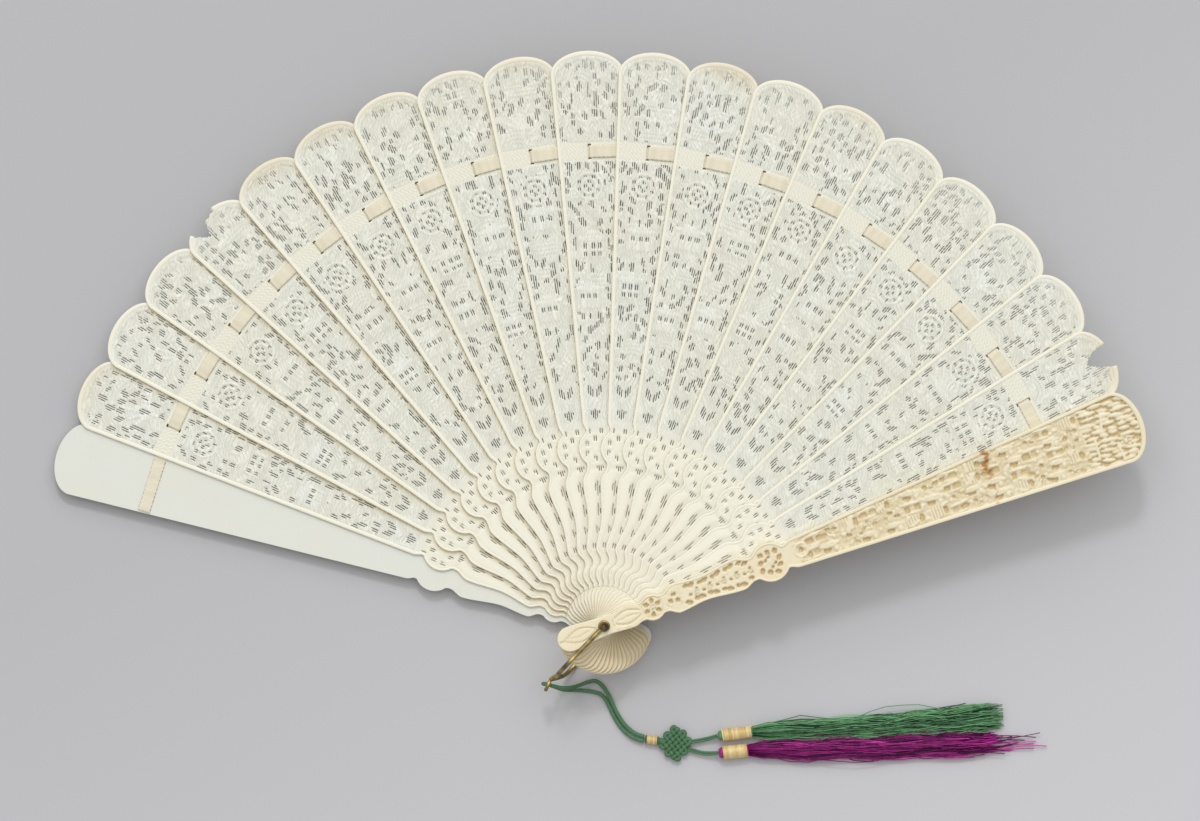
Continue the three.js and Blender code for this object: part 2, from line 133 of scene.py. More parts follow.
class Wire:
    # an output socket, on which sums are written as sums
    def __init__(self, paint, socket):
        self.paint = paint
        self.socket = socket

    def maths(self, operation, a, b):
        # one sum, difference or product
        return self.paint.node("ShaderNodeMath", {"operation": operation}, {0: a, 1: b})

    def __add__(self, other):
        return self.maths("ADD", self, other)

    def __sub__(self, other):
        return self.maths("SUBTRACT", self, other)

    def __rsub__(self, other):
        return self.maths("SUBTRACT", other, self)

    def __mul__(self, other):
        return self.maths("MULTIPLY", self, other)

    __radd__ = __add__
    __rmul__ = __mul__


class Paint:
    # one material: constants on its shader, and what varies through feed()
    def __init__(self, name, constants):
        self.material = bpy.data.materials.new(name)
        self.material.use_nodes = True
        self.tree = self.material.node_tree
        self.shader = self.tree.nodes["Principled BSDF"]
        for socket, value in constants.items():
            self.shader.inputs[socket].default_value = value

    def node(self, kind, settings, inputs, output=0):
        # any node, its inputs given as wires or values; gives one of its outputs
        made = self.tree.nodes.new(kind)
        for key, value in settings.items():
            setattr(made, key, value)
        for key, value in inputs.items():
            if isinstance(value, Wire):
                self.tree.links.new(value.socket, made.inputs[key])
            else:
                made.inputs[key].default_value = value
        return Wire(self, made.outputs[output])

    def place(self):
        # the object's own coordinates
        return self.node("ShaderNodeTexCoord", {}, {}, "Object")

    def attribute(self, name):
        # one of the mesh's marks
        return self.node("ShaderNodeAttribute", {"attribute_name": name}, {}, "Fac")

    def noise(self, scale, detail=3.0):
        # noise in the object's own coordinates
        return self.node("ShaderNodeTexNoise", {}, {"Vector": self.place(), "Scale": scale, "Detail": detail})

    def remap(self, value, low, high):
        # value from low..high to 0..1, clamped
        return self.node("ShaderNodeMapRange", {}, {0: value, 1: low, 2: high, 3: 0.0, 4: 1.0})

    def mix(self, share, a, b):
        # the colour a (1 - share) + b share
        return self.node("ShaderNodeMix", {"data_type": "RGBA"}, {0: share, 6: a, 7: b}, 2)

    def bump(self, height, strength, distance):
        # a height as a change of the normal
        return self.node("ShaderNodeBump", {}, {"Strength": strength, "Distance": distance, "Height": height})

    def feed(self, socket, value):
        # a wire into one of the shader's sockets
        self.tree.links.new(value.socket, self.shader.inputs[socket])
        return self


class Shape:
    # the faces of one piece, gathered from grids of points; each point has three marks: deep, a stain mark
    # that holds real stains and painted shade, and tone
    def __init__(self):
        self.points, self.quads, self.triangles, self.flat, self.marks = [], [], [], [], []
        self.count = 0

    def put(self, points, quads, flat, marks):
        # adds points and quads, and gives the first point's number
        self.points.append(points)
        self.quads.append(quads + self.count)
        self.flat.append(np.broadcast_to(np.asarray(flat, bool), len(quads)))
        self.marks.append(marks)
        self.count += len(points)
        return self.count - len(points)

    def grid(self, points, closeRows=False, closeColumns=False, caps=False, marks=None, flat=False):
        # rows x columns of points joined by quads and faced outwards; caps close the first and last row
        rows, columns = points.shape[:2]
        ids = np.arange(rows * columns).reshape(rows, columns)
        flatPoints = points.reshape(-1, 3)
        marks = np.zeros(flatPoints.shape) if marks is None else marks.reshape(-1, 3)
        if closeRows:
            ids = np.vstack((ids, ids[:1]))
        if closeColumns:
            ids = np.hstack((ids, ids[:, :1]))
        quads = np.stack((ids[:-1, :-1], ids[1:, :-1], ids[1:, 1:], ids[:-1, 1:]), -1).reshape(-1, 4)
        fans = np.empty((0, 3), int)
        if caps:
            first, last = ids[0], ids[-1]
            middles = np.full((2, len(first) - 1), ((len(flatPoints),), (len(flatPoints) + 1,)))
            flatPoints = np.vstack((flatPoints, points[0].mean(0), points[-1].mean(0)))
            marks = np.vstack((marks, marks[0], marks[-1]))
            fans = np.vstack((
                np.stack((first[:-1], first[1:], middles[0]), -1),
                np.stack((last[1:], last[:-1], middles[1]), -1),
            ))
        corners = flatPoints - flatPoints.mean(0)
        halves = np.vstack((quads[:, :3], quads[:, (0, 2, 3)], fans))
        a, b, c = (corners[halves[:, side]] for side in range(3))
        if np.einsum("ij,ij->", a, np.cross(b, c)) < 0:  # six times the volume
            quads, fans = quads[:, ::-1], fans[:, ::-1]
        self.triangles.append(fans + self.put(flatPoints, quads, flat, marks))

    def turn(self, angle, node):
        # the whole shape turned about the rivet, and raised to where its node lies
        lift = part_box(node)[0].z * 1000
        for points in self.points:
            points[:, 0], points[:, 1] = turned(points[:, 0], points[:, 1], angle)
            points[:, 2] += lift

    def piece(self, name, paint, body, nodes):
        # the mesh in metres, with its marks as attributes
        points = np.concatenate(self.points) * 0.001
        quads = np.concatenate(self.quads)
        triangles = np.concatenate((np.empty((0, 3), int), *self.triangles))
        corners = np.concatenate((quads.ravel(), triangles.ravel()))
        starts = np.concatenate((np.arange(len(quads)) * 4, quads.size + np.arange(len(triangles)) * 3))
        flat = np.concatenate((*self.flat, np.zeros(len(triangles), bool)))
        marks = np.ascontiguousarray(np.concatenate(self.marks).T, np.float32)
        mesh = bpy.data.meshes.new(name)
        mesh.vertices.add(len(points))
        mesh.vertices.foreach_set("co", points.ravel())
        mesh.loops.add(len(corners))
        mesh.loops.foreach_set("vertex_index", corners.astype(np.int32))
        mesh.polygons.add(len(starts))
        mesh.polygons.foreach_set("loop_start", starts.astype(np.int32))
        mesh.update(calc_edges=True)
        mesh.attributes.new("sharp_face", "BOOLEAN", "FACE").data.foreach_set("value", flat)
        for mark, values in zip(("deep", "stain", "tone"), marks):
            mesh.attributes.new(mark, "FLOAT", "POINT").data.foreach_set("value", values)
        mesh.materials.append(paint.material)
        made = added(name, mesh)
        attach(made, body)
        if nodes:
            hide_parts(*nodes)
        return made


def toned(tone, rows, columns):
    # marks of a tone alone: one for all the points, or one for each row or column
    marks = np.zeros((rows, columns, 3))
    marks[..., 2] = tone
    return marks


def sides(path, hint=(0, 0, 1)):
    # the two directions square to a line at each of its points
    tangent = unit(np.gradient(path, axis=0))
    across = unit(np.cross(np.broadcast_to(hint, tangent.shape), tangent))
    return across, np.cross(tangent, across)


def tube(shape, path, radius, around=12, lay=(0, 0.0, 0.0), hint=(0, 0, 1), tone=0.0, squash=1.0):
    # radius (1 - depth + depth |cos(strands / 2 (angle - twist run))|): a tube, or a cord of laid strands
    strands, depth, twist = lay
    angle = np.linspace(0, 2 * np.pi, around, endpoint=False)[None, :]
    swell = 1 - depth + depth * np.abs(np.cos(strands / 2 * (angle - twist * runs(path)[:, None])))
    across, up = sides(path, hint)
    outward = np.cos(angle)[..., None] * across[:, None] + squash * np.sin(angle)[..., None] * up[:, None]
    points = path[:, None] + (radius * swell)[..., None] * outward
    shape.grid(points, closeColumns=True, caps=True, marks=toned(tone, len(path), around))


def lathe(shape, profile, around=40, ring=False, place=None, tone=0.0):
    # (radius, height) turned about +Z, or about the axis of place; a ring's profile is closed on itself
    radius, height = np.array(profile, float).T[..., None]
    angle = np.linspace(0, 2 * np.pi, around, endpoint=False)
    points = np.stack(np.broadcast_arrays(radius * np.cos(angle), radius * np.sin(angle), height), -1)
    if place:
        points = place(points[..., (2, 0, 1)])
    marks = toned(tone, *points.shape[:2])
    shape.grid(points, closeRows=ring, closeColumns=True, caps=not ring, marks=marks)


# camera above the fan, looking straight down
view = {"over": (-1.3, 68.9, 14.0), "height": 4000.0, "width": 384.6, "sensor": 36.0, "far": 20.0}
camera = added("camera", bpy.data.cameras.new("camera"))
camera.data.sensor_width = view["sensor"]
camera.data.lens = view["sensor"] * view["height"] / view["width"]
camera.data.clip_end = view["far"]
overX, overY, overZ = view["over"]
camera.location = (overX / 1000, overY / 1000, (overZ + view["height"]) / 1000)
bpy.context.scene.camera = camera
bpy.context.scene.view_settings.view_transform = "Standard"
print("stage: camera")

# paints
# each ivory's stain colour tints real stains and the painted shade in the stain mark alike
ivoryPaints = {
    "stick": {
        "face": (245, 241, 224), "cool": (245, 247, 239), "warm": (243, 238, 219), "recess": (216, 213, 194),
        "stain": (222, 203, 160), "roughness": 0.4, "engraved": True,
    },
    "guard": {
        "face": (241, 231, 201), "cool": (240, 232, 206), "warm": (235, 220, 180), "recess": (206, 182, 134),
        "stain": (184, 132, 68), "roughness": 0.36, "engraved": False,
    },
    "rear": {
        "face": (226, 227, 218), "cool": (226, 227, 218), "warm": (229, 227, 212), "recess": (198, 176, 130),
        "stain": (224, 202, 150), "roughness": 0.36, "engraved": False,
    },
}
# each silk's dark and light are its painted shade and painted highlight
silkPaints = {
    "cord": {"dark": (46, 84, 58), "light": (104, 148, 108), "roughness": 0.6, "metallic": 0.0},
    "green": {"dark": (10, 50, 28), "light": (140, 206, 146), "roughness": 0.42, "metallic": 0.0},
    "purple": {"dark": (66, 3, 56), "light": (230, 66, 186), "roughness": 0.42, "metallic": 0.0},
    "gold": {"dark": (216, 176, 100), "light": (255, 244, 196), "roughness": 0.32, "metallic": 0.2},
    "ribbon": {"dark": (218, 209, 184), "light": (240, 232, 209), "roughness": 0.42, "metallic": 0.0},
}
metalPaints = {
    "brass": {"dull": (122, 110, 78), "bright": (196, 174, 114), "roughness": 0.4},
    "bronze": {"dull": (84, 70, 52), "bright": (134, 112, 78), "roughness": 0.45},
}
engraving = {"Scale": 300.0, "Distortion": 14.0, "Detail": 2.0, "Detail Scale": 0.55}


def ivoryPaint(kind, s):
    # a clouded face, cooler where carved (tone), darker in the recesses (deep) and tan-yellow by the stain
    # mark, which holds real stains and painted shade; an engraved one has fine flowing lines over its carved
    # field
    paint = Paint("ivory " + kind, {"Roughness": s["roughness"], "IOR": 1.5})
    cloud = paint.remap(paint.noise(38.0, 4.0), 0.4, 0.8)
    field, deep = paint.attribute("tone"), paint.attribute("deep")
    face = paint.mix(field, colour(*s["face"]), colour(*s["cool"]))
    face = paint.mix(cloud * 0.7, face, colour(*s["warm"]))
    height = paint.noise(2600.0, 2.0) * 0.25
    if s["engraved"]:
        lines = paint.node("ShaderNodeTexWave", {}, {"Vector": paint.place(), **engraving}, "Fac")
        height = height + lines * field
        deep = deep + (1.0 - lines) * field * 0.2
    carved = paint.mix(deep, face, colour(*s["recess"]))
    # the stain mark's colour: real stains, and painted shade between the sticks and on the heads
    paint.feed("Base Color", paint.mix(paint.attribute("stain"), carved, colour(*s["stain"])))
    return paint.feed("Normal", paint.bump(height, 0.7, 0.00025))


def silkPaint(kind, s):
    # between the painted shade and the painted highlight of one silk, by the tone of each strand, with a
    # little mottling
    constants = {"Roughness": s["roughness"], "Metallic": s["metallic"], "Specular IOR Level": 0.3}
    paint = Paint("silk " + kind, constants)
    share = paint.remap(paint.attribute("tone") * 0.75 + paint.noise(420.0) * 0.5, 0.1, 1.1)
    paint.feed("Base Color", paint.mix(share, colour(*s["dark"]), colour(*s["light"])))
    return paint.feed("Normal", paint.bump(paint.noise(3800.0, 1.0), 0.3, 0.0003))


def metalPaint(kind, s):
    # dull metal, worn bright in patches
    paint = Paint("metal " + kind, {"Roughness": s["roughness"], "Metallic": 1.0})
    wear = paint.remap(paint.noise(260.0, 4.0), 0.42, 0.62)
    return paint.feed("Base Color", paint.mix(wear, colour(*s["dull"]), colour(*s["bright"])))


paints = {}
for make, kinds in ((ivoryPaint, ivoryPaints), (silkPaint, silkPaints), (metalPaint, metalPaints)):
    paints.update({kind: make(kind, s) for kind, s in kinds.items()})

# two lights from the top of the picture, the key a little to the left and the fill broad, in a pale surround
lights = {
    "key light": {"turn": -3.0, "height": 51.0, "strength": 0.6, "angle": 9.0},
    "fill light": {"turn": 0.0, "height": 58.0, "strength": 1.35, "angle": 80.0},
}
for name, s in lights.items():
    sun = added(name, bpy.data.lights.new(name, "SUN"))
    sun.data.energy = s["strength"]
    sun.data.angle = math.radians(s["angle"])
    sun.rotation_euler = (math.radians(s["height"] - 90), 0, math.radians(-s["turn"]))
surround = {"Color": (1.0, 1.0, 0.98, 1.0), "Strength": 0.46}
world = bpy.data.worlds.new("surround")
world.use_nodes = True
for socket, value in surround.items():
    world.node_tree.nodes["Background"].inputs[socket].default_value = value
bpy.context.scene.world = world

# painted light: the table's colour goes from darker at the upper left to paler at the lower right
floor = {"reach": 4.0, "left": (189, 189, 192), "right": (205, 204, 208), "slant": (0.6, -0.12, 0.16)}
floorPaint = Paint("table", {"Roughness": 0.85, "Specular IOR Level": 0.2})
split = lambda axis: floorPaint.node("ShaderNodeSeparateXYZ", {}, {0: floorPaint.place()}, axis)
lean, dark, pale = floor["slant"]
slant = floorPaint.remap(split(0) * lean - split(1), dark, pale)  # painted light: paler towards the lower right
floorPaint.feed("Base Color", floorPaint.mix(slant, colour(*floor["left"]), colour(*floor["right"])))
floorMesh = bpy.data.meshes.new("table")
floorCorners = np.array(((-1, -1, 0), (1, -1, 0), (1, 1, 0), (-1, 1, 0))) * floor["reach"]
floorMesh.from_pydata(floorCorners.tolist(), [], [(0, 1, 2, 3)])
floorMesh.materials.append(floorPaint.material)
table = added("table", floorMesh)
print("stage: light and table")

# the doubled cord, from the bail's eye to the gold binding
cord = {"diameter": 1.3, "eyeZ": 13.575, "lay": (3, 0.1, 1.5), "step": 0.25, "around": 18, "tone": 0.55}
strands = {
    "upper": (
        (-18.7, -18.8, 13.575), (-17.9, -19, 13.575), (-16, -19.5, 13.275), (-13.7, -20, 11.575),
        (-11.6, -20.1, 8.4), (-9.8, -19.9, 5), (-7.9, -19.4, 2.4), (-5.1, -18.4, 1.1), (-2.6, -18.1, 0.8),
        (-0.6, -19.5, 1.0), (1.3, -22.2, 1.5), (2.9, -25.7, 1.3), (4.8, -29.5, 1.1), (7.3, -32.8, 1.1),
        (10.4, -35.1, 1.35), (12.9, -35.9, 1.6),
    ),
    "lower": (
        (-18.7, -18.8, 10.225), (-17.9, -19, 10.175), (-16, -19.7, 9.775), (-13.9, -20.5, 7.975),
        (-12.1, -20.9, 5.2), (-10.1, -21.0, 2.5), (-7.4, -21.1, 1.1), (-3.8, -21.5, 0.8), (-1.2, -22.3, 0.8),
        (0.4, -23.8, 0.8), (1.6, -26.1, 0.8), (3.4, -29.8, 0.8), (6.0, -33.6, 0.9), (9.4, -36.3, 1.35),
        (12.7, -37.4, 1.6),
    ),
}
bight = (
    (-18.5, -18.85, 13.58), (-19.0, -18.78, 13.4), (-19.38, -18.72, 12.8), (-19.5, -18.7, 11.9),
    (-19.38, -18.72, 11.0), (-19.0, -18.78, 10.4), (-18.5, -18.82, 10.22),
)


def cordPiece(which, path, nodes):
    # a laid cord along the path
    shape = Shape()
    tube(shape, path, cord["diameter"] / 2, cord["around"], cord["lay"], tone=cord["tone"])
    return shape.piece("strand_" + which, paints["cord"], "cord", nodes)


cordPieces, cordPaths = {}, {}
for which, points in strands.items():
    steps = int(runLength(spline(points, 40)) / cord["step"])
    cordPaths[which] = evenly(spline(points, 400), steps)
    cordPieces[which] = cordPiece(which, cordPaths[which], ["cord_" + which])
cordBight = cordPiece("bight", spline(bight, 40), [])
print("stage: cord", {which: round(runLength(path), 1) for which, path in cordPaths.items()})


def bladeEdge(r):
    # half the straight blade's width: r tan(step / 2) + half the overlap
    return r * math.tan(math.radians(stepAngle / 2)) + spread["overlap"] / 2


def halfWidth(r):
    # the gorge eased from swell to swell, or a rosette where wider, then the straight blade; round ends
    r = np.asarray(r, float)
    at, half = np.array(blade["swells"]).T
    i = np.clip(np.searchsorted(at, r, "right") - 1, 0, len(at) - 2)
    gorge = half[i] + (half[i + 1] - half[i]) * smooth(ramp(r, at[i], at[i + 1]))
    disc = lambda centre, radius: np.sqrt(np.maximum(radius**2 - (r - centre) ** 2, 0))
    for rosette in blade["rosettes"]:
        gorge = np.maximum(gorge, disc(*rosette))
    onBlade = smooth(ramp(r, blade["shoulder"] - 1.5, blade["shoulder"] + 1.5))
    ahead = np.maximum(r - tipFrom, 0) / blade["tipRound"]
    tip = bladeEdge(tipFrom) * np.sqrt(np.maximum(1 - ahead**2, 0))
    ends = tip, disc(headAt, blade["headHalf"])
    return np.select((r > tipFrom, r <= headAt), ends, gorge + (bladeEdge(r) - gorge) * onBlade)


def nextEdge(r):
    # the next stick's edge, across this one: half width - r tan(step)
    return halfWidth(r) - np.asarray(r) * math.tan(math.radians(stepAngle))


def ribDip(x, y):
    # from 0 at the edge to 1 under the next stick's edge: (distance in / (|x| tan step))^1.5
    room = np.abs(x) * math.tan(math.radians(stepAngle)) + 0.2
    return np.clip((halfWidth(x) - np.abs(y)) / room, 0, 1) ** 1.5


def insideEdge(x, y, inset):
    # within the outline less an inset: |y| < half width - inset, and an ellipse at the tip
    ahead = np.maximum(x - tipFrom, 0)
    tip = (ahead / (blade["tipRound"] - inset)) ** 2 + (y / (halfWidth(tipFrom) - inset)) ** 2 < 1
    return (np.abs(y) < halfWidth(x) - np.where(x > tipFrom, 0, inset)) & ((x <= tipFrom) | tip)


def insidePolygon(points, corners):
    # even-odd rule
    x, y = points[..., 0], points[..., 1]
    found = np.zeros(x.shape, bool)
    for (ax, ay), (bx, by) in zip(corners, np.roll(corners, -1, axis=0)):
        if ay != by:
            found ^= ((ay > y) != (by > y)) & (x < (bx - ax) * (y - ay) / (by - ay) + ax)
    return found


def taper(r, amount):
    # what each face of the blade loses, from none at the head
    return amount * ramp(r, *blade["taper"])


rim = {"step": 0.8, "tipWider": 0.5, "soft": 0.16, "headSofter": 0.14, "crown": 0.02}


def edgePath(start):
    # a blade's edge from the left at start, round the tip and back on the right
    r = np.arange(start, tipFrom, 0.2)
    left = np.stack((r, halfWidth(r)), -1)
    angle = np.linspace(0, np.pi, 120)
    tip = np.stack((tipFrom + blade["tipRound"] * np.sin(angle), halfWidth(tipFrom) * np.cos(angle)), -1)
    path = np.vstack((left, tip, left[::-1] * (1, -1)))
    return evenly(path, int(runLength(path) / rim["step"]))


def rimBand(shape, start, low, high, rims, shade, bite=None, stain=None, warm=0.0):
    # a rounded band swept along the edge; rims are its width on the blade and on the gorge, shade the painted
    # shade on its walls, and warm a tan painted shade on its walls towards the head
    path = edgePath(start)
    tangent = unit(np.gradient(path, axis=0))
    inward = np.stack((tangent[:, 1], -tangent[:, 0]), -1)
    weights = np.ones(5) / 5
    inward = unit(np.stack([np.convolve(np.pad(axis, 2, "edge"), weights, "valid") for axis in inward.T], -1))
    r = path[:, 0]
    onBlade = ramp(r, blade["shoulder"] - 4, blade["shoulder"] + 4)
    width = rims[1] + (rims[0] - rims[1]) * onBlade + rim["tipWider"] * ramp(r, tipFrom, blade["length"]) ** 2
    low, high = low(r), high(r)
    soft = np.minimum(rim["soft"] + rim["headSofter"] * ramp(r, 34, 24), 0.34 * (high - low))
    section = (
        (0.6 * soft, low), (0 * r, low + soft), (0 * r, high - soft), (0.3 * soft, high - 0.3 * soft),
        (soft, high), (width / 2, high + rim["crown"]), (width - soft, high),
        (width, high - soft), (width, low + soft), (width - soft, low),
    )
    inset, z = (np.stack(column, -1)[..., None] for column in zip(*section))
    points = np.concatenate((path[:, None] + inset * inward[:, None], z), -1)
    marks = np.zeros(points.shape)
    marks[:, (0, 1, 8, 9), 0] = shade
    if stain:
        marks[..., 1] = stain(points[..., 0], points[..., 1])
    # painted shade: tan on the walls where the sticks crowd together towards the head
    marks[:, (0, 1, 2, 8, 9), 1] += warm * ramp(r, 30, 22)[:, None]
    kept = np.ones(len(path), bool) if bite is None else ~insidePolygon(path, bite)
    ends = np.flatnonzero(np.diff(np.concatenate(((0,), kept.astype(int), (0,)))))
    for first, last in zip(ends[::2], ends[1::2]):
        if last - first > 2:
            shape.grid(points[first:last], closeColumns=True, caps=True, marks=marks[first:last])


def headPlate(shape, end, thick, warm, groove=None):
    # the head round the bore: rings of points from the bore out to the edge, and down its wall
    rounded = headAt - blade["headHalf"] * np.sin(np.linspace(0, np.pi / 2, 14))
    r = np.concatenate((np.arange(end, headAt, -0.35), rounded))
    left = np.stack((r, halfWidth(r)), -1)
    back = np.stack((np.full(7, end), np.linspace(-1, 1, 9)[1:-1] * float(halfWidth(end))), -1)
    edge = np.vstack((left, left[-2::-1] * (1, -1), back))
    outward = unit(edge)
    soft = min(0.3, thick * 0.33)
    inner, crest = outward * blade["bore"], edge - 2.2 * soft * outward
    rings = [(inner, 0.0)]
    rings += [(inner + (crest - inner) * share, thick) for share in np.linspace(0, 1, 18 if groove else 9)]
    rings += [
        (edge - soft * outward, thick - 0.05 * soft), (edge - 0.3 * soft * outward, thick - 0.35 * soft),
        (edge, thick - soft), (edge, soft), (edge - soft * outward, 0.0),
    ]
    points = np.stack([np.concatenate((at, np.full((len(at), 1), z)), -1) for at, z in rings], 1)
    marks = np.zeros(points.shape)
    # painted shade, tan: the stain mark rises past the bore towards the outer heads under the front guard,
    # and doubles on the walls between heads
    marks[..., 1] = warm * np.clip((9 - points[..., 0]) / 12, 0.08, 1)
    marks[:, (0, -2, -1), 1] = 2 * warm
    face = slice(1, -5)  # the rings of the upper face
    x, y = points[:, face, 0], points[:, face, 1]
    if groove:
        line = groove(x, y)
        points[:, face, 2] -= 0.16 * line
        marks[:, face, 0] = line
    else:
        dip = ribDip(x, y)
        points[:, face, 2] -= np.where(x < 0, 0.3, 0.2) * dip
        # painted shade: the stain mark darkens the face where it sinks under the next stick's edge
        marks[:, face, 1] += np.where(x < 0, 0.35, 0.1) * dip
    shape.grid(points, closeRows=True, closeColumns=True, marks=marks)


def carvedField(shape, xs, ys, filled, top, low, marks):
    # cells with a carved top, a flat underside and walls round each opening
    ids = np.arange(len(xs) * len(ys)).reshape(len(xs), len(ys))
    a, b, c, d = ids[:-1, :-1], ids[1:, :-1], ids[1:, 1:], ids[:-1, 1:]
    under = ids.size
    faces = [np.stack((a, b, c, d), -1)[filled], np.stack((d, c, b, a), -1)[filled] + under]
    near = np.pad(filled, 1)
    walls = (d, c, near[1:-1, 2:]), (b, a, near[1:-1, :-2]), (c, b, near[2:, 1:-1]), (a, d, near[:-2, 1:-1])
    for p, q, beside in walls:
        faces.append(np.stack((p, q, q + under, p + under), -1)[filled & ~beside])
    quads = np.concatenate(faces)
    flat = np.arange(len(quads)) >= len(faces[0])
    layers = [np.stack(np.broadcast_arrays(xs[:, None], ys[None, :], z), -1) for z in (top, low)]
    points = np.concatenate(layers).reshape(-1, 3)
    marks = np.concatenate((marks, marks)).reshape(-1, 3)
    used, quads = np.unique(quads, return_inverse=True)
    shape.put(points[used], quads.reshape(-1, 4), flat, marks[used])


def oval(u, v, along, across, power):
    # |u / along|^power + |v / across|^power < 1
    return np.abs(u / along) ** power + np.abs(v / across) ** power < 1


class Carving:
    # lift (0 ground to 1 rim), openings and cuts on a grid, from motifs laid one over another
    def __init__(self, xs, ys):
        self.xs, self.x, self.y = xs, xs[:, None], ys[None, :]
        self.lift = np.zeros((len(xs), len(ys)))
        self.open = np.zeros(self.lift.shape, bool)
        self.cut = np.zeros(self.lift.shape, bool)

    def between(self, low, high):
        # the rows from low to high
        return slice(*np.searchsorted(self.xs, (low, high)))

    def near(self, x, y, reach, turn=0.0):
        # the rows within reach, and u along and v across the motif
        rows = self.between(x - reach, x + reach)
        return rows, *turned(self.x[rows] - x, self.y - y, -turn)

    def lay(self, rows, inside, height):
        # a height at the points inside a motif
        self.lift[rows] = np.where(inside, height, self.lift[rows])

    def spot(self, x, y, along, across, turn=0.0, power=1.5, bend=0.0):
        # an opening: an oval of u - bend v^2 and v
        rows, u, v = self.near(x, y, 1.2 * max(along, across) + 0.5, turn)
        self.open[rows] |= oval(u - bend * v * v, v, along, across, power)

    def close(self, x, y, along, across, power, lift):
        # an oval with no openings, at one height
        rows, u, v = self.near(x, y, along)
        inside = oval(u, v, along, across, power)
        self.open[rows] &= ~inside
        self.lay(rows, inside, lift)

    def hole(self, x, y, along, across, turn=0.0, power=2.0, depth=0.0):
        # an oval hollow
        rows, u, v = self.near(x, y, 1.1 * max(along, across) + 0.2, turn)
        self.lay(rows, oval(u, v, along, across, power), depth)

    def leaf(self, x, y, length, width, turn, height):
        # a lens of half width w (1 - (2u / L)^2), domed, with a midrib and side veins
        rows, u, v = self.near(x, y, length / 2, turn)
        half = width / 2 * (1 - (2 * u / length) ** 2)
        share = np.clip(np.abs(v) / np.maximum(half, 1e-6), 0, 1)
        veins = 0.1 * np.cos(2 * np.pi * (u - np.abs(v)) / 0.9) - 0.3 * np.exp(-((v / 0.16) ** 2))
        self.lay(rows, np.abs(v) < half, height * (0.55 + 0.45 * np.sqrt(1 - share**2) + veins * (1 - share)))

    def blossom(self, x, y, radius, petals, turn=0.0):
        # petals of reach R (0.8 + 0.2 cos(n angle)), domed, round a button
        rows, u, v = self.near(x, y, radius, turn)
        away = np.hypot(u, v) / radius
        wave = np.cos(petals * np.arctan2(v, u))
        dome = 0.6 + 0.25 * wave + 0.15 * np.cos(np.pi * away)
        dome = np.where(away < 0.28, 1.0 - 1.5 * away**2, np.where(away < 0.38, 0.35, dome))
        self.lay(rows, away < 0.8 + 0.2 * wave, dome)

    def ring(self, x, y, radius, width, height=1.0):
        # a round moulding: 0.5 + 0.5 sqrt(1 - (2 (distance - R) / width)^2)
        rows, u, v = self.near(x, y, radius + width)
        off = 2 * (np.hypot(u, v) - radius) / width
        self.lay(rows, np.abs(off) < 1, height * (0.5 + 0.5 * np.sqrt(np.maximum(1 - off**2, 0))))

    def dome(self, x, y, radius, height=1.0, squeeze=1.0, turn=0.0):
        # a boss, longer along u by squeeze: 0.6 + 0.4 sqrt(1 - (distance / R)^2)
        rows, u, v = self.near(x, y, radius * max(1.0, squeeze), turn)
        away = np.hypot(u / squeeze, v) / radius
        self.lay(rows, away < 1, height * (0.6 + 0.4 * np.sqrt(np.maximum(1 - away**2, 0))))

    def planks(self, x, y, length, width, turn, pitch, height):
        # boards along u, with a groove every pitch
        rows, u, v = self.near(x, y, 0.5 * math.hypot(length, width), turn)
        groove = np.abs((v / pitch) % 1 - 0.5) < 0.12
        inside = (np.abs(u) < length / 2) & (np.abs(v) < width / 2)
        self.lay(rows, inside, np.where(groove, 0.5 * height, height))

    def patch(self, x, y, along, across, kind):
        # a panel of waves, lattice, boards or slanting lines: 0.6 + 0.32 cosine, lines 1.3 to 1.7 mm apart
        rows, u, v = self.near(x, y, along)
        lines = (
            np.cos(2 * np.pi * np.hypot(u + 2 * along, v) / 1.3),
            np.cos(2 * np.pi * u / 1.7) * np.cos(2 * np.pi * v / 1.7),
            np.cos(2 * np.pi * u / 1.35) + 0 * v,
            np.cos(2 * np.pi * (u + v) / 1.6),
        )
        self.lay(rows, oval(u, v, along, across, 4), 0.6 + 0.32 * lines[kind])


ribbon = {
    "at": 152.0, "width": 4.0, "panel": 3.05, "thick": 0.12, "gap": 0.08,
    "reach": 9.38, "slot": 0.8, "arch": 0.22,
}
stick = {
    "thick": 0.85, "relief": 0.2, "rim": 1.2, "gorgeRim": 0.85, "field": 12.0, "inset": 0.6, "depth": 0.28,
    "pitch": 0.66, "slit": 0.22, "gorgeRow": 0.8, "bladeRow": 0.48,  # the field's cells
    "ground": 0.42, "middle": 0.7,
    "foliage": {"along": (67.0, 182.0, 1.7), "pitch": 1.9},
    "scenes": {"along": (84.0, 178.0), "long": (1.8, 3.0), "wide": (0.3, 0.55), "apart": (5.5, 9.0)},
    "openings": {"along": (77.0, 181.0, 3.1), "pitch": 3.0, "kept": 0.8, "keptInScenes": 0.22},
    "pavilions": ((99.0, 3.0, 4, 1), (121.0, 2.5, 5, -1)),  # place, shift from stick to stick, sticks, side
    "tree": {"root": 157.5, "top": 161.0},
    "boughs": ((38, 7.5), (-42, 7.0), (62, 6.0), (-68, 5.6), (12, 10.5)),  # turn and length
    "medallion": (141.0, 0.5),
    "tipBand": {"from": 3.0, "wide": 1.5, "scallop": 0.45, "scallops": 7},
    "rosette": (blade["rosettes"][1][0], 0.9),
    "gorgeSlits": ((25.6, 1.0, 0.6), (31.0, 1.4, 0.62), (37.2, 1.7, 0.64), (44.0, 2.0, 0.7)),
}
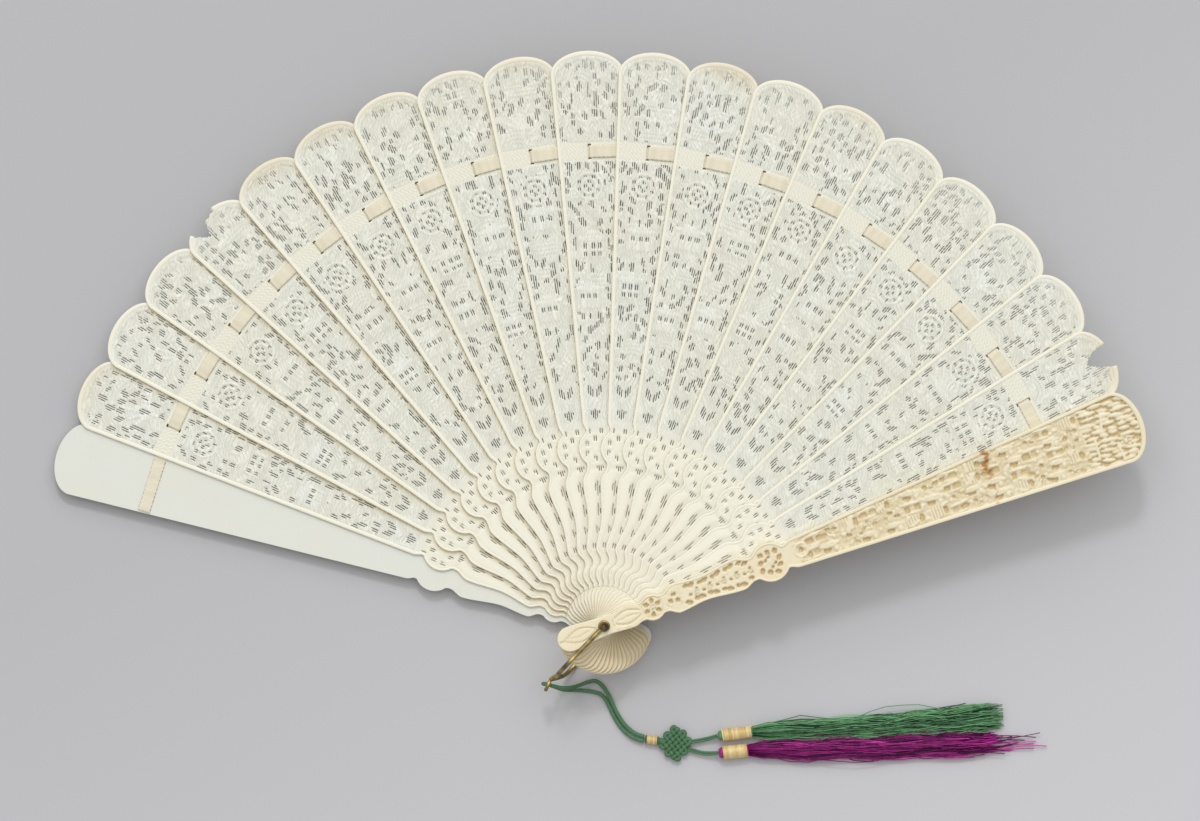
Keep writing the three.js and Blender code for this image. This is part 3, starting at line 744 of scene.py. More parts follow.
chips = {
    4: ((8, 3.1), (3.6, 6.9), (1.4, 2.1), (-2.4, 1.6), (-2.4, -1)),
    19: ((4.3, 2.4), (3.7, 5.2), (0.9, 9.1), (-1.3, 6), (-3.4, 1.4)),
}


def acrossBlade(room, pitch):
    # places about a pitch apart, from -room to room
    count = max(2, int(round(2 * room / pitch)))
    return (2 * (np.arange(count) + 0.5) / count - 1) * room


def layFoliage(c, rng):
    # small leaves over the whole blade, turned to both sides
    s = stick["foliage"]
    for r in np.arange(*s["along"]):
        for y in acrossBlade(float(halfWidth(r)) - 1.2, s["pitch"]):
            turn = rng.choice((-1, 1)) * rng.uniform(10, 80)
            place = r + rng.uniform(-0.8, 0.8), y + rng.uniform(-0.5, 0.5)
            c.leaf(*place, rng.uniform(2.2, 3.8), rng.uniform(0.8, 1.5), turn, rng.uniform(0.55, 1.05))


def layScenes(c, rng, number):
    # engraved panels up the blade; gives their places and half sizes
    s, panels = stick["scenes"], []
    r, end = s["along"]
    r += 2 * (number % 4)
    while r < end:
        room = float(halfWidth(r)) - 1.6
        wide = room * rng.uniform(*s["wide"])
        panels.append((r, rng.uniform(-0.6, 0.8) * (room - wide), rng.uniform(*s["long"]), wide))
        c.patch(*panels[-1], rng.integers(4))
        r += rng.uniform(*s["apart"])
    return panels


def pierce(c, rng, panels):
    # slanting openings in uneven rows, fewer of them within the panels
    s = stick["openings"]
    for r in np.arange(*s["along"]):
        shift = rng.uniform(-0.9, 0.9)
        for y in acrossBlade(float(halfWidth(r)) - 1.3, s["pitch"]):
            size = rng.uniform(0.85, 1.8), rng.uniform(0.45, 1.0)
            place = r + rng.uniform(-1.0, 1.0), y + shift + rng.uniform(-0.6, 0.6)
            turn, power, bend = rng.uniform(-40, 40), rng.choice((1.6, 2.0, 3.0)), rng.uniform(-0.4, 0.4)
            within = any(abs(place[0] - at) < a and abs(place[1] - mid) < b for at, mid, a, b in panels)
            if rng.random() < s["keptInScenes" if within else "kept"]:
                c.spot(*place, *size, turn, power, bend)


def layPavilions(c, number):
    # boarded walls under two curved roofs, with one or two rows of windows
    for start, shift, sticks, side in stick["pavilions"]:
        r = start + shift * (number % sticks)
        wide = 0.55 * float(halfWidth(r))
        middle = side * 0.2 * wide + 0.8
        c.close(r, middle, 4.6, wide + 0.5, 6.0, 0.4)
        c.planks(r - 0.4, middle, 5.0, 1.7 * wide, 0, 0.85, 0.85)
        c.leaf(r + 3.2, middle, 2.5 * wide, 2.0, 90, 1.05)
        c.leaf(r + 4.7, middle, 1.3 * wide, 1.3, 90, 1.05)
        for across in np.arange(-1, 2) * 0.52 * wide:
            c.spot(r + 0.8, middle + across, 0.8, 0.75, 0, 6.0)
            if (number + side) % 3 == 0:
                c.spot(r - 1.8, middle + across, 0.6, 0.75, 0, 6.0)


def layTree(c, rng):
    # a trunk above the ribbon, boughs from its top and a leaf beyond each end
    s = stick["tree"]
    across = rng.uniform(-3.0, 2.0)
    stems = [(s["root"], 0, 4.5, 8.0, 4.5)]
    stems += [(s["top"], turn, far / 2 + 0.6, 6.0, far) for turn, far in stick["boughs"]]
    for start, turn, middle, length, far in stems:
        c.planks(*polar(start, across, middle, turn), length, 0.85, turn, 4.0, 1.0)
        c.leaf(*polar(start, across, far + 2.0, turn), 3.6, 1.8, turn + 70, 1.05)


def layMedallion(c):
    # two rings of openings between mouldings, round a blossom
    at = stick["medallion"]
    c.close(*at, 4.8, 4.8, 2.0, 0.2)
    c.ring(*at, 4.2, 0.9)
    for angle in np.arange(0, 360, 45):
        c.spot(*polar(*at, 3.3, angle + 20), 0.62, 0.62, angle)
    c.ring(*at, 2.4, 0.8)
    c.blossom(*at, 1.9, 4, 45)
    for angle in (0, 90, 180, 270):
        c.spot(*polar(*at, 1.25, angle), 0.6, 0.6, 0, 1.3)


def layRibbonPanel(c):
    # chevrons beside the ribbon, a plain bed under it, a moulding along both sides, and the slot
    x, y = c.x, c.y
    off = np.abs(x - ribbon["at"])
    weave = np.where((np.floor(x / 0.9) % 2) == 0, x + y, x - y)
    panel = np.where(y > 0.3, 0.6 + 0.4 * np.cos(2 * np.pi * weave / 1.3), 0.62)
    panel = np.where(off > ribbon["panel"] - 0.55, np.where(off > ribbon["panel"] - 0.2, 0.5, 1.0), panel)
    c.lift = np.where(off < ribbon["panel"], panel, c.lift)
    c.open &= off > ribbon["panel"] + 0.2
    c.cut |= (np.abs(y) < ribbon["slot"] / 2) & (off < ribbon["width"] / 2 + 0.3)


def layTipBand(c):
    # a plain band inside the tip's rim, scalloped by |sin(n angle)|, with a groove along its inner edge
    s, x, y = stick["tipBand"], c.x, c.y
    start, half, ahead = tipFrom - s["from"], float(halfWidth(tipFrom)), np.maximum(x - tipFrom, 0)
    angle = np.arctan2(y / half, ahead / blade["tipRound"])
    wide = s["wide"] + s["scallop"] * np.abs(np.sin(s["scallops"] * angle))
    band = stick["rim"] + wide * ramp(x, start, tipFrom + 1)
    past = np.hypot(ahead / (blade["tipRound"] - band), y / (half - band)) - 1
    border = (x > start) & (past > 0)
    c.open &= ~border
    c.lift = np.where(border, np.where(past < 0.07, 0.25, 0.9), c.lift)


def layBells(c):
    # a bell between two leaves at the blade's foot
    middle = stick["middle"]
    c.close(71.0, middle, 7.6, 4.8, 6.0, 0.55)
    for side in (-1, 1):
        c.leaf(70.0, middle + 2.9 * side, 7.5, 1.5, 6 * side, 1.0)
        c.spot(75.2, middle + 1.35 * side, 2.0, 0.9, 20 * side, 1.4)
    c.spot(67.8, middle, 1.7, 1.7, 0, 1.2, 0.35)
    c.close(64.2, middle, 1.1, 4.0, 6.0, 0.7)
    c.leaf(72.2, middle, 1.8, 3.0, 0, 0.95)


def layRosette(c):
    # six whirling leaves with openings between them, in a ring
    at, rows = stick["rosette"], c.between(0, 63.9)
    c.open[rows] = False
    c.lift[rows] = 0.62
    c.ring(*at, 4.9, 0.9, 0.95)
    for angle in np.arange(0, 360, 60):
        c.leaf(*polar(*at, 2.8, angle + 30), 4.2, 1.7, angle + 50, 1.05)
        c.spot(*polar(*at, 3.1, angle), 0.95, 0.7, angle + 20, 1.6)
    c.dome(*at, 1.2)


def layGorge(c):
    # a smooth lobe beside hatched slits, which fades into the head's ribs: lobe = 1 - 0.3 bow^2
    rows = c.between(0, 51.0)
    r, y = c.x[rows], c.y
    line = nextEdge(r) + 1.8 + 0.4 * np.sin((r - 22) * 2 * np.pi / 25)
    bow = (y - line - 1.7) / 1.9
    lobe = np.where((y > line) & (r < 50.4 - 1.8 * bow**2), 1.0 - 0.3 * bow**2, 0.5)
    fade = ramp(r, 20, 23)
    c.lift[rows] = lobe * fade + (1 - 0.75 * ribDip(r, y)) * (1 - fade)
    for r, along, across in stick["gorgeSlits"]:
        c.spot(r, float(nextEdge(r)) + 0.95, along, across, 3, 3.0)
    c.spot(50.7, float(nextEdge(50.7)) + 2.2, 0.8, 1.2)
    for y in (2.9, -0.9):
        c.spot(62.3, y, 0.7, 0.9)


def carveStick(c, number):
    # every motif in turn, each over the ones before
    rng = np.random.default_rng(500 + number)
    c.lift[:] = stick["ground"]
    layFoliage(c, rng)
    pierce(c, rng, layScenes(c, rng, number))
    layPavilions(c, number)
    layTree(c, rng)
    for lay in (layMedallion, layRibbonPanel, layTipBand, layBells, layRosette, layGorge):
        lay(c)
    c.lift[c.open] = np.minimum(c.lift[c.open], 0.5)


def chipOutline(number):
    # a broken tip's corners (across, below the tip), carried out past the tip
    bite = [(blade["length"] - below, left) for left, below in chips[number]]
    past = blade["length"] + blade["tipRound"]
    return np.array(bite + [(past, bite[-1][1]), (past, bite[0][1])])


def tipStain(number):
    # yellow towards the tip, more on some sticks than on others
    amount = np.random.default_rng(900 + number).uniform(0.05, 0.65) ** 2
    return lambda x, y: amount * ramp(x - 0.12 * y, 176.5, 182.5)


def makeStick(number):
    # head, carved field and rim; the field's narrow columns are slits, open where a motif is open
    half = int(halfWidth(tipFrom) / stick["pitch"]) + 1
    slits = np.arange(-half, half + 1) * stick["pitch"]
    ys = np.sort(np.concatenate((slits - stick["slit"] / 2, slits + stick["slit"] / 2)))
    gorgeXs = np.arange(stick["field"], blade["shoulder"], stick["gorgeRow"])
    xs = np.concatenate((gorgeXs, np.arange(blade["shoulder"], blade["length"], stick["bladeRow"])))
    centreX, centreY = (xs[1:] + xs[:-1]) / 2, (ys[1:] + ys[:-1]) / 2
    tops, cells = Carving(xs, ys), Carving(centreX, centreY)
    for c in (tops, cells):
        carveStick(c, number)
    x, y = np.broadcast_arrays(centreX[:, None], centreY[None, :])
    isSlit = np.abs(centreY / stick["pitch"] - np.round(centreY / stick["pitch"])) < 0.1
    filled = insideEdge(x, y, stick["inset"]) & ~(cells.open & isSlit) & ~cells.cut
    bite = chipOutline(number) if number in chips else None
    if bite is not None:
        filled &= ~insidePolygon(np.stack((x, y), -1), bite)
    low = lambda r: taper(r, stick["relief"])
    high = lambda r: stick["thick"] - taper(r, stick["relief"])
    lift = np.clip(tops.lift, 0, 1)
    top = high(xs)[:, None] - rim["crown"] - stick["depth"] * (1 - lift)
    onPanel = np.abs(xs - ribbon["at"]) < ribbon["panel"]
    tone = ramp(xs, blade["shoulder"] - 2, blade["shoulder"] + 3) * np.where(onPanel, 0.2, 1)
    # painted shadow: a darker band along the next stick's edge, strongest on the low-numbered sticks, added
    # to the tip's real stain
    beside = np.exp(-(((ys[None, :] - nextEdge(xs)[:, None] - 0.3) / 0.9) ** 2))  # painted shadow of the next stick's edge
    stain = tipStain(number)
    stainedAndShadowed = stain(tops.x, tops.y) + 0.55 * beside * np.clip((11 - number) / 7, 0.1, 1)
    marks = np.stack((0.7 * (1 - lift), stainedAndShadowed, tone[:, None] + 0 * top), -1)
    shape = Shape()
    # 0.65 and 0.8 set the tan painted shade of the heads and of the rim's walls
    headPlate(shape, stick["field"] + 0.4, stick["thick"], 0.65)
    carvedField(shape, xs, ys, filled, top, low(xs)[:, None] + rim["crown"], marks)
    rimBand(shape, stick["field"], low, high, (stick["rim"], stick["gorgeRim"]), 0.5, bite, stain, 0.8)
    name = "stick_%02d" % number
    shape.turn(rearAngle - number * stepAngle, name)
    shape.piece("carved_" + name, paints["stick"], name, [name])


for number in range(1, spread["sticks"] + 1):
    makeStick(number)
print("stage: sticks")

guard = {
    "thick": 2.6, "relief": 0.2, "rim": 1.15, "gorgeRim": 0.8, "field": 3.4, "inset": 0.5, "cell": 0.33,
    "depth": 1.1, "reach": 12.0, "slab": 0.4, "ground": 0.55,
    "foliage": (67.0, 183.0, 1.5),
    "scenes": {"along": (68.5, 164.0), "long": (5.5, 8.0), "pitch": 3.9},
    "boughs": {"along": (163.5, 183.0), "bed": (165.0, 0.1), "across": (-10.0, 10.4, 1.6)},
    "stems": ((167.5, -4.2, 84), (171.5, 3.6, 76), (174.5, -7.2, 95)),
    "foot": (66.2, 0.86),
    "neck": 12.6,
    "gorge": (28.2, 50.0, 2.3),
}
guards = {
    "rear_guard": {"angle": rearAngle, "seed": 71, "paint": "rear", "slot": "ivory", "outerDown": True},
    "front_guard": {
        "angle": spread["front"], "seed": 72, "paint": "guard", "slot": "aged_ivory", "outerDown": False,
    },
}


def gallery(c, rng, middle, across, long, wide, tilt):
    # two dark bays between rails
    for step in (-1, 1):
        size = rng.uniform(0.7, 1.5), rng.uniform(0.17, 0.26) * wide
        place = middle + step * long / 4 + rng.uniform(-0.4, 0.4), across - 0.05 * wide
        c.hole(*place, *size, tilt, rng.choice((2.0, 3.0, 5.0)), rng.uniform(0, 0.3))
    c.dome(middle, across + 0.36 * wide, 0.55, 1.0, 0.9 * long, tilt)
    c.dome(middle, across - 0.4 * wide, 0.45, 0.95, 0.8 * long, tilt)


def roof(c, rng, middle, across, long, wide, tilt):
    # a curved roof beside a doorway and a bush
    c.hole(middle - 1.2, across - 0.2 * wide, 1.3, 0.2 * wide, tilt)
    c.leaf(middle, across + 0.15 * wide, 1.1 * long, 0.5 * wide, tilt, 1.0)
    c.dome(middle + 1.8, across - 0.25 * wide, 0.75, 1.0, 1.4, 90)


def wall(c, rng, middle, across, long, wide, tilt):
    # boards with a window above them
    c.planks(middle, across, 0.9 * wide, 0.6 * long, 90 + tilt, 0.95, 0.9)
    c.hole(middle + 0.36 * long, across, 0.7, 0.28 * wide, tilt, 2.5)


def thicket(c, rng, middle, across, long, wide, tilt):
    # three hollows behind a blossom
    for step in (-1, 0, 1):
        place = middle + 1.9 * step, across + rng.uniform(-0.35, 0.35) * wide
        size = rng.uniform(0.6, 1.3), rng.uniform(0.4, 0.75)
        c.hole(*place, *size, rng.uniform(-40, 40), 1.6, rng.uniform(0, 0.3))
    c.blossom(middle + rng.uniform(-1, 1), across, rng.uniform(0.9, 1.4), 6, 20)


guardScenes = (0.34, gallery), (0.56, roof), (0.72, wall), (1.0, thicket)  # each with the share up to it


def layGuardFoliage(c, rng):
    # rough bosses over the whole blade
    for r in np.arange(*guard["foliage"]):
        room = float(halfWidth(r)) - 0.9
        for across in np.arange(-room, room + 0.1, 1.6):
            place = r + rng.uniform(-0.6, 0.6), across + rng.uniform(-0.6, 0.6)
            size = rng.uniform(0.5, 1.0), rng.uniform(0.5, 1.0), rng.uniform(1.0, 2.0)
            c.dome(*place, *size, rng.uniform(-60, 60))


def layGuardScenes(c, rng):
    # galleries, roofs, walls and thickets, in bands along the blade
    s = guard["scenes"]
    r, end = s["along"]
    while r < end:
        long = rng.uniform(*s["long"])
        room = float(halfWidth(r + long / 2)) - 1.2
        count = max(2, int(round(2 * room / s["pitch"])))
        wide = 2 * room / count
        for across in (np.arange(count) + 0.5) * wide - room:
            middle, tilt, kind = r + long / 2 + rng.uniform(-1.5, 1.5), rng.uniform(-9, 5), rng.random()
            scene = next(scene for share, scene in guardScenes if kind < share)
            scene(c, rng, middle, across, long, wide, tilt)
        r += long + rng.uniform(0.0, 0.8)


def layBoughs(c, rng):
    # long bosses end to end on a deep bed below the tip, with a blossom and three stems
    s = guard["boughs"]
    bed, depth = s["bed"]
    c.lift[c.between(bed, blade["length"])] = depth
    start, end = s["along"]
    for across in np.arange(*s["across"]):
        at = start + rng.uniform(0, 2.5)
        while at < end:
            long = rng.uniform(2.4, 6.0)
            place = at + long / 2, across + rng.uniform(-0.3, 0.3)
            c.dome(*place, rng.uniform(0.66, 0.85), rng.uniform(0.8, 1.0), 0.75 * long, rng.uniform(-14, 2))
            at += long + rng.uniform(0.0, 0.8)
    c.blossom(177.0, -4.6, 2.3, 6)
    for at, across, turn in guard["stems"]:
        c.planks(at, across, 6.5, 0.9, turn, 4.0, 1.0)


def neckLines(x, y):
    # an engraved leaf on each side of the rivet: |y| = 2.1 sin(pi (|x| - 2.2) / 11.5), with a rib between
    away = np.abs(x)
    outline = np.abs(np.abs(y) - 2.1 * np.sin(np.pi * np.clip((away - 2.2) / 11.5, 0, 1)))
    rib = np.abs(y - 0.25 * np.sin(0.9 * x)) + 0.12 + 9.0 * (away < 4.5)
    return np.where(away > 2.6, np.exp(-((np.minimum(outline, rib) / 0.24) ** 2)), 0)


def layGuardFoot(c, rng):
    # engraved neck, lower rosette, trefoil, pierced gorge, upper rosette and a ring at the blade's foot
    end, ground = guard["foot"]
    c.lift[c.between(0, end)] = ground
    (lower, _), (upper, _) = blade["rosettes"]
    neck = c.xs < guard["neck"]
    c.lift[neck] = (1.0 - 0.5 * neckLines(c.x, c.y))[neck]
    c.dome(lower, 0, 3.6, 0.95)
    for angle in np.arange(20, 380, 60):
        c.hole(*polar(lower, 0, 2.2, angle), 0.85, 0.62, angle)
    c.blossom(lower, 0, 1.45, 4, 20)
    c.ring(24.0, 0.2, 2.6, 0.7, 0.95)
    for angle in (80, 200, 320):
        c.hole(*polar(24.0, 0.2, 1.35, angle), 0.78, 0.66)
    for index, r in enumerate(np.arange(*guard["gorge"])):
        side = 1 if index % 2 else -1
        room = float(halfWidth(r)) - 1.75
        c.hole(r, side * room, 1.2, 0.68, side * 24, 1.6)
        c.hole(r + 0.6, -side * (room - 0.1), 0.95, 0.6, -side * 20, 1.7)
        c.hole(r + 1.2, side * 0.5, 0.6, 0.42, 40 * side, 1.7)
        if index % 2:
            c.blossom(r + 1.1, -0.5 * side, 1.2, 5, rng.uniform(0, 72))
        else:
            c.leaf(r + 1.0, -0.5 * side, 2.6, 1.2, 30 * side, 1.0)
    for index, angle in enumerate(np.arange(10, 370, 40)):
        c.hole(*polar(upper, 0, 3.9 if index % 2 else 3.2, angle), 0.95, 0.72, angle + 40, 1.8)
    c.leaf(upper, 0, 5.0, 2.2, 25, 1.0)
    for angle in (100, 150, 280, 330):
        c.hole(*polar(upper, 0, 1.7, angle), 0.6, 0.42, 30)
    c.ring(67.5, 0.2, 2.2, 0.9)
    c.hole(67.6, 0.2, 0.8, 0.7)


def crackMark(x, y):
    # brown glue along a break that runs in from the left edge, and a finer crack beyond it
    line = 132.2 + 0.7 * np.sin(1.1 * y + 0.4) + 0.35 * np.sin(3.7 * y) + 0.1 * y
    near = np.exp(-(((x - line) / 0.7) ** 2)) * np.clip((y + 1.2) / 2, 0, 1)
    far = 0.6 * np.exp(-(((x - line - 0.4) / 0.28) ** 2)) * np.clip((-y - 1.0) / 2, 0, 1)
    wash = 0.22 * np.exp(-(((x - line) / 3.2) ** 2)) * np.clip((y + 2) / 6, 0, 1)
    return np.clip(near + far + wash, 0, 1)


def makeGuard(name, s):
    # built with its carved face up, and turned over for the rear guard
    thick = guard["thick"]
    xs = np.arange(guard["field"], blade["length"], guard["cell"])
    ys = np.arange(-guard["reach"], guard["reach"] + 0.01, guard["cell"])
    tops, rng = Carving(xs, ys), np.random.default_rng(s["seed"])
    tops.lift[:] = guard["ground"]
    for lay in (layGuardFoliage, layGuardScenes, layBoughs, layGuardFoot):
        lay(tops, rng)
    lift = np.clip(tops.lift, 0, 1)
    centreX, centreY = (xs[1:] + xs[:-1]) / 2, (ys[1:] + ys[:-1]) / 2
    filled = insideEdge(centreX[:, None], centreY[None, :], guard["inset"])
    crack = 0 * lift if s["outerDown"] else crackMark(tops.x, tops.y)
    top = thick - 0.04 - guard["depth"] * (1 - lift) - 0.5 * np.clip(crack - 0.3, 0, 1)
    marks = np.stack((np.clip(1.15 * (1 - lift), 0, 1) ** 1.3, crack, 0 * lift), -1)
    under = lambda r: taper(r, guard["relief"])
    shape = Shape()
    headPlate(shape, guard["field"] + 0.5, thick, 0.0, neckLines)
    rounded = tipFrom + blade["tipRound"] * np.sin(np.linspace(0, np.pi / 2, 30)[:-1])
    r = np.concatenate((np.arange(guard["field"], tipFrom, 0.8), rounded))
    half = halfWidth(r)
    across = np.stack((-half + 0.1, -half, -half, half, half, half - 0.1), -1)
    up = under(r)[:, None] + np.array((0, 0.14, guard["slab"], guard["slab"], 0.14, 0))
    slab = np.stack((np.broadcast_to(r[:, None], across.shape), across, up), -1)
    shape.grid(slab, closeColumns=True, caps=True, flat=True)
    carvedField(shape, xs, ys, filled, top, under(xs)[:, None] + guard["slab"] / 2, marks)
    rims, stain = (guard["rim"], guard["gorgeRim"]), None if s["outerDown"] else crackMark
    rimBand(shape, guard["field"], lambda r: under(r) + 0.3, lambda r: thick + 0 * r, rims, 0.15, None, stain)
    if s["outerDown"]:
        for points in shape.points:
            points[:, 1:] = np.array((0, thick)) - points[:, 1:]
    shape.turn(s["angle"], name)
    shape.piece("carved_" + name, paints[s["paint"]], name, [name])


for name, s in guards.items():
    makeGuard(name, s)
print("stage: guards")


def ribbonPiece(name, body, angle, across, up):
    # a flat strip: its section follows across and up, its width lies along the blade
    line = np.stack((across, up), -1)
    slope = unit(np.gradient(line, axis=0))
    normal = np.stack((-slope[:, 1], slope[:, 0]), -1) * ribbon["thick"] / 2
    across, up = np.vstack((line + normal, (line - normal)[::-1])).T
    share = np.linspace(-1, 1, 9)[:, None]
    along = ribbon["at"] + share * (ribbon["width"] / 2 - 0.06 * np.sin(across * 2.2) ** 2)
    # painted shade and painted highlight in bands across the ribbon, as over its wrinkles
    tone = 0.6 + 0.3 * np.cos(1.7 * across) * np.cos(0.6 * across + 1)
    points = np.stack(np.broadcast_arrays(along, across, up), -1)
    shape = Shape()
    shape.grid(points, closeColumns=True, caps=True, marks=toned(tone, *along.shape))
    shape.turn(angle, body)
    shape.piece("silk_" + name, paints["ribbon"], body, [name])


reach, clear = ribbon["reach"], ribbon["gap"] + ribbon["thick"] / 2
under, over = stick["relief"] - clear, stick["thick"] - stick["relief"] + clear
stretches = (reach, 0.5, 12), (0.4, -0.4, 9), (-0.5, -reach, 24)
across = np.concatenate([np.linspace(*stretch) for stretch in stretches])
through = under + (over - under) * smooth(ramp(across, 0.3, -0.3))  # from under the stick up through its slot
arch = ribbon["arch"] * np.sin(np.pi * ramp(across, -0.3, 0.9 - reach)) ** 0.8
for number in range(1, spread["sticks"] + 1):
    room = 1.0 if number < spread["sticks"] else 0.3  # the last lies under the front guard's own ribbon
    name, angle = "%02d" % number, rearAngle - number * stepAngle
    ribbonPiece("ribbon_" + name, "stick_" + name, angle, across, through + room * arch)
inside = guard["thick"] - guard["relief"] + clear
for which, ends, level in (("rear", (9.8, -9.4), inside), ("front", (9.4, -9.8), guard["relief"] - clear)):
    body = which + "_guard"
    ribbonPiece("ribbon_" + which, body, guards[body]["angle"], np.linspace(*ends, 32), np.full(32, level))
print("stage: ribbon")

rivet = {"shank": 1.0, "foot": 2.0, "footThick": 0.6, "head": 1.5, "headHeight": 0.95}
shank, foot, footTop, head = rivet["shank"], rivet["foot"], rivet["footThick"], rivet["head"]
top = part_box("rivet")[1].z * 1000
under = top - rivet["headHeight"]
shape = Shape()
lathe(shape, (
    (0.02, 0), (foot - 0.15, 0), (foot, 0.15), (foot, 0.5), (foot - 0.1, footTop), (shank, footTop),
    (shank, under), (head - 0.05, under), (head, under + 0.1), (1.46, under + 0.45), (1.3, top - 0.12),
    (1.08, top), (0.86, top - 0.06), (0.7, top - 0.34), (0.4, top - 0.42), (0.02, top - 0.43),
))
shape.piece("bronze_rivet", paints["bronze"], "rear_guard", ["rivet"])

bail = {
    "wire": 1.1, "wide": 1.45, "ring": 1.9, "reach": 26.1, "arm": 17.8, "eyeAngle": 226.7, "facing": 335.0,
    "eye": 1.9, "eyeWire": 0.9, "arms": ((226.0, 25.9), (234.0, 1.25)),  # angle and height, front and rear
    "bends": ((1, 0.25, 0.18), (2, 0.65, 0.55)),  # how far along, turned and lowered towards the eye
}


def bailPoint(r, angle, z):
    # a point at an angle round the rivet
    return np.array((*polar(0, 0, r, angle), z))


shape = Shape()
eyeCentre = bailPoint(bail["reach"], bail["eyeAngle"], cord["eyeZ"])
facing, side = bailPoint(1, bail["facing"], 0), bailPoint(1, bail["facing"] + 90, 0)
meet = eyeCentre + bailPoint(bail["eye"], bail["facing"] + 90, 0)
bend = (bail["reach"] - bail["eye"] - bail["arm"]) / 3
half, out, bore = bail["wire"] / 2, bail["ring"], blade["bore"] + 0.02
for angle, z in bail["arms"]:
    lathe(shape, (
        (bore, z - half), (bore, z + half), (out - 0.3, z + half), (out - 0.08, z + 0.7 * half), (out, z),
        (out - 0.08, z - 0.7 * half), (out - 0.3, z - half),
    ), ring=True)
    swing, drop = bail["eyeAngle"] - angle, cord["eyeZ"] - z
    path = [bailPoint(r, angle, z) for r in np.linspace(1.5, bail["arm"] - bend / 2, 5)]
    for far, turn, fall in bail["bends"]:
        path.append(bailPoint(bail["arm"] + far * bend, angle + swing * turn, z + fall * drop))
    tube(shape, spline(path + [meet], 90), bail["wide"] / 2, 16, squash=bail["wire"] / bail["wide"])
turn, section = np.linspace(0, 2 * np.pi, 41)[:-1, None], np.linspace(0, 2 * np.pi, 13)[:-1]
outward = np.cos(turn) * side + np.sin(turn) * np.array((0, 0, 1.0))
ringOut = (bail["eye"] + bail["eyeWire"] / 2 * np.cos(section))[:, None]
ringSide = (0.65 * bail["eyeWire"] * np.sin(section))[:, None]
shape.grid(eyeCentre + outward[:, None] * ringOut + ringSide * facing, closeRows=True, closeColumns=True)
shape.piece("brass_bail", paints["brass"], "bail", ["bail"])
print("stage: rivet and bail")


def axisFrame(start, end, z):
    # the function that places (along, across, up) on the line from start to end, and its length
    start, end = np.array(start, float), np.array(end, float)
    length = float(np.linalg.norm(end - start))
    ahead = (end - start) / length

    def place(points):
        along, across, up = np.moveaxis(points, -1, 0)
        x = start[0] + ahead[0] * along - ahead[1] * across
        y = start[1] + ahead[1] * along + ahead[0] * across
        return np.stack((x, y, z + up), -1)

    return place, length


goldThread = {"wide": 0.4, "pitch": 0.41, "press": 1.04, "around": 7, "perTurn": 22}


def windThread(shape, place, outer, first, last, seed):
    # a helix of gold thread within the outer radius, each turn beside the last
    wide, pitch = goldThread["wide"], goldThread["pitch"]
    radius = outer - wide / 2
    turns = (last - first - wide) / pitch
    angle = np.linspace(0, 2 * np.pi * turns, int(turns * goldThread["perTurn"]))
    along = first + wide / 2 + pitch * angle / (2 * np.pi)
    path = place(np.stack((along, radius * np.cos(angle), radius * np.sin(angle)), -1))
    # painted glints: each turn gets its own share between the gold's painted shade and painted highlight
    shades = np.random.default_rng(seed).uniform(-1, 1, int(turns) + 2)
    tone = 0.5 + 0.4 * shades[(angle / (2 * np.pi)).astype(int)]
    hint = unit(place(np.array((1.0, 0, 0))) - place(np.zeros(3)))
    tube(shape, path, wide / 2 * goldThread["press"], goldThread["around"], hint=hint, tone=tone[:, None])


binding = {"start": (13.2, -36.75), "end": (17.6, -37.24), "radius": 1.5, "z": 1.6, "inset": 0.45, "seed": 11}
place, length = axisFrame(binding["start"], binding["end"], binding["z"])
core = binding["radius"] - goldThread["wide"] - 0.06
collar = [(0.05, -0.1), (0.9, -0.05), (1.35, 0.12), (1.4, 0.3), (1.2, 0.5), (core, 0.6)]
shape = Shape()
lathe(shape, collar + [(r, length - z) for r, z in collar[::-1]], 28, place=place, tone=0.4)
neck = shape.piece("silk_neck", paints["cord"], "cord", ["cord_neck"])
shape = Shape()
windThread(shape, place, binding["radius"], binding["inset"], length - binding["inset"], binding["seed"])
winding = shape.piece("gold_binding", paints["gold"], "cord", ["cord_winding"])

knot = {
    "centre": (23.0, -38.1, 1.6), "gap": 1.4, "radius": 0.68, "height": 0.55, "passes": 5, "turn": -6.0,
    "scale": (0.98, 1.1), "lay": (3, 0.08, 1.6),
    "stem": ((17.4, -37.2, 1.6), (18.4, -37.4, 1.7), (19.6, -37.7, 1.6)),
}


def knotPath(sign):
    # passes side by side, joined by loops, over and under by turns: sign h cos(pi (p / gap + (n - 1) / 2))
    gap, half = knot["gap"], (knot["passes"] - 1) / 2
    reach = gap * (knot["passes"] - 1) / 2 + 0.6
    bow = np.linspace(-np.pi / 2, np.pi / 2, 9)[1:-1]
    pieces = []
    for i in range(knot["passes"]):
        way = 1 if i % 2 == 0 else -1
        p = np.linspace(-reach, reach, 26) * way
        q = (i - half) * gap
        z = sign * way * knot["height"] * np.cos(np.pi * (p / gap + half))
        z *= np.clip((reach + 0.2 - np.abs(p)) / 0.6, 0, 1)
        pieces.append(np.stack((p, np.full(26, q), z), -1))
        if i < knot["passes"] - 1:
            out = way * reach + way * gap * 0.62 * np.cos(bow)
            pieces.append(np.stack((out, q + gap / 2 + gap / 2 * np.sin(bow), 0 * bow), -1))
    return np.vstack(pieces)


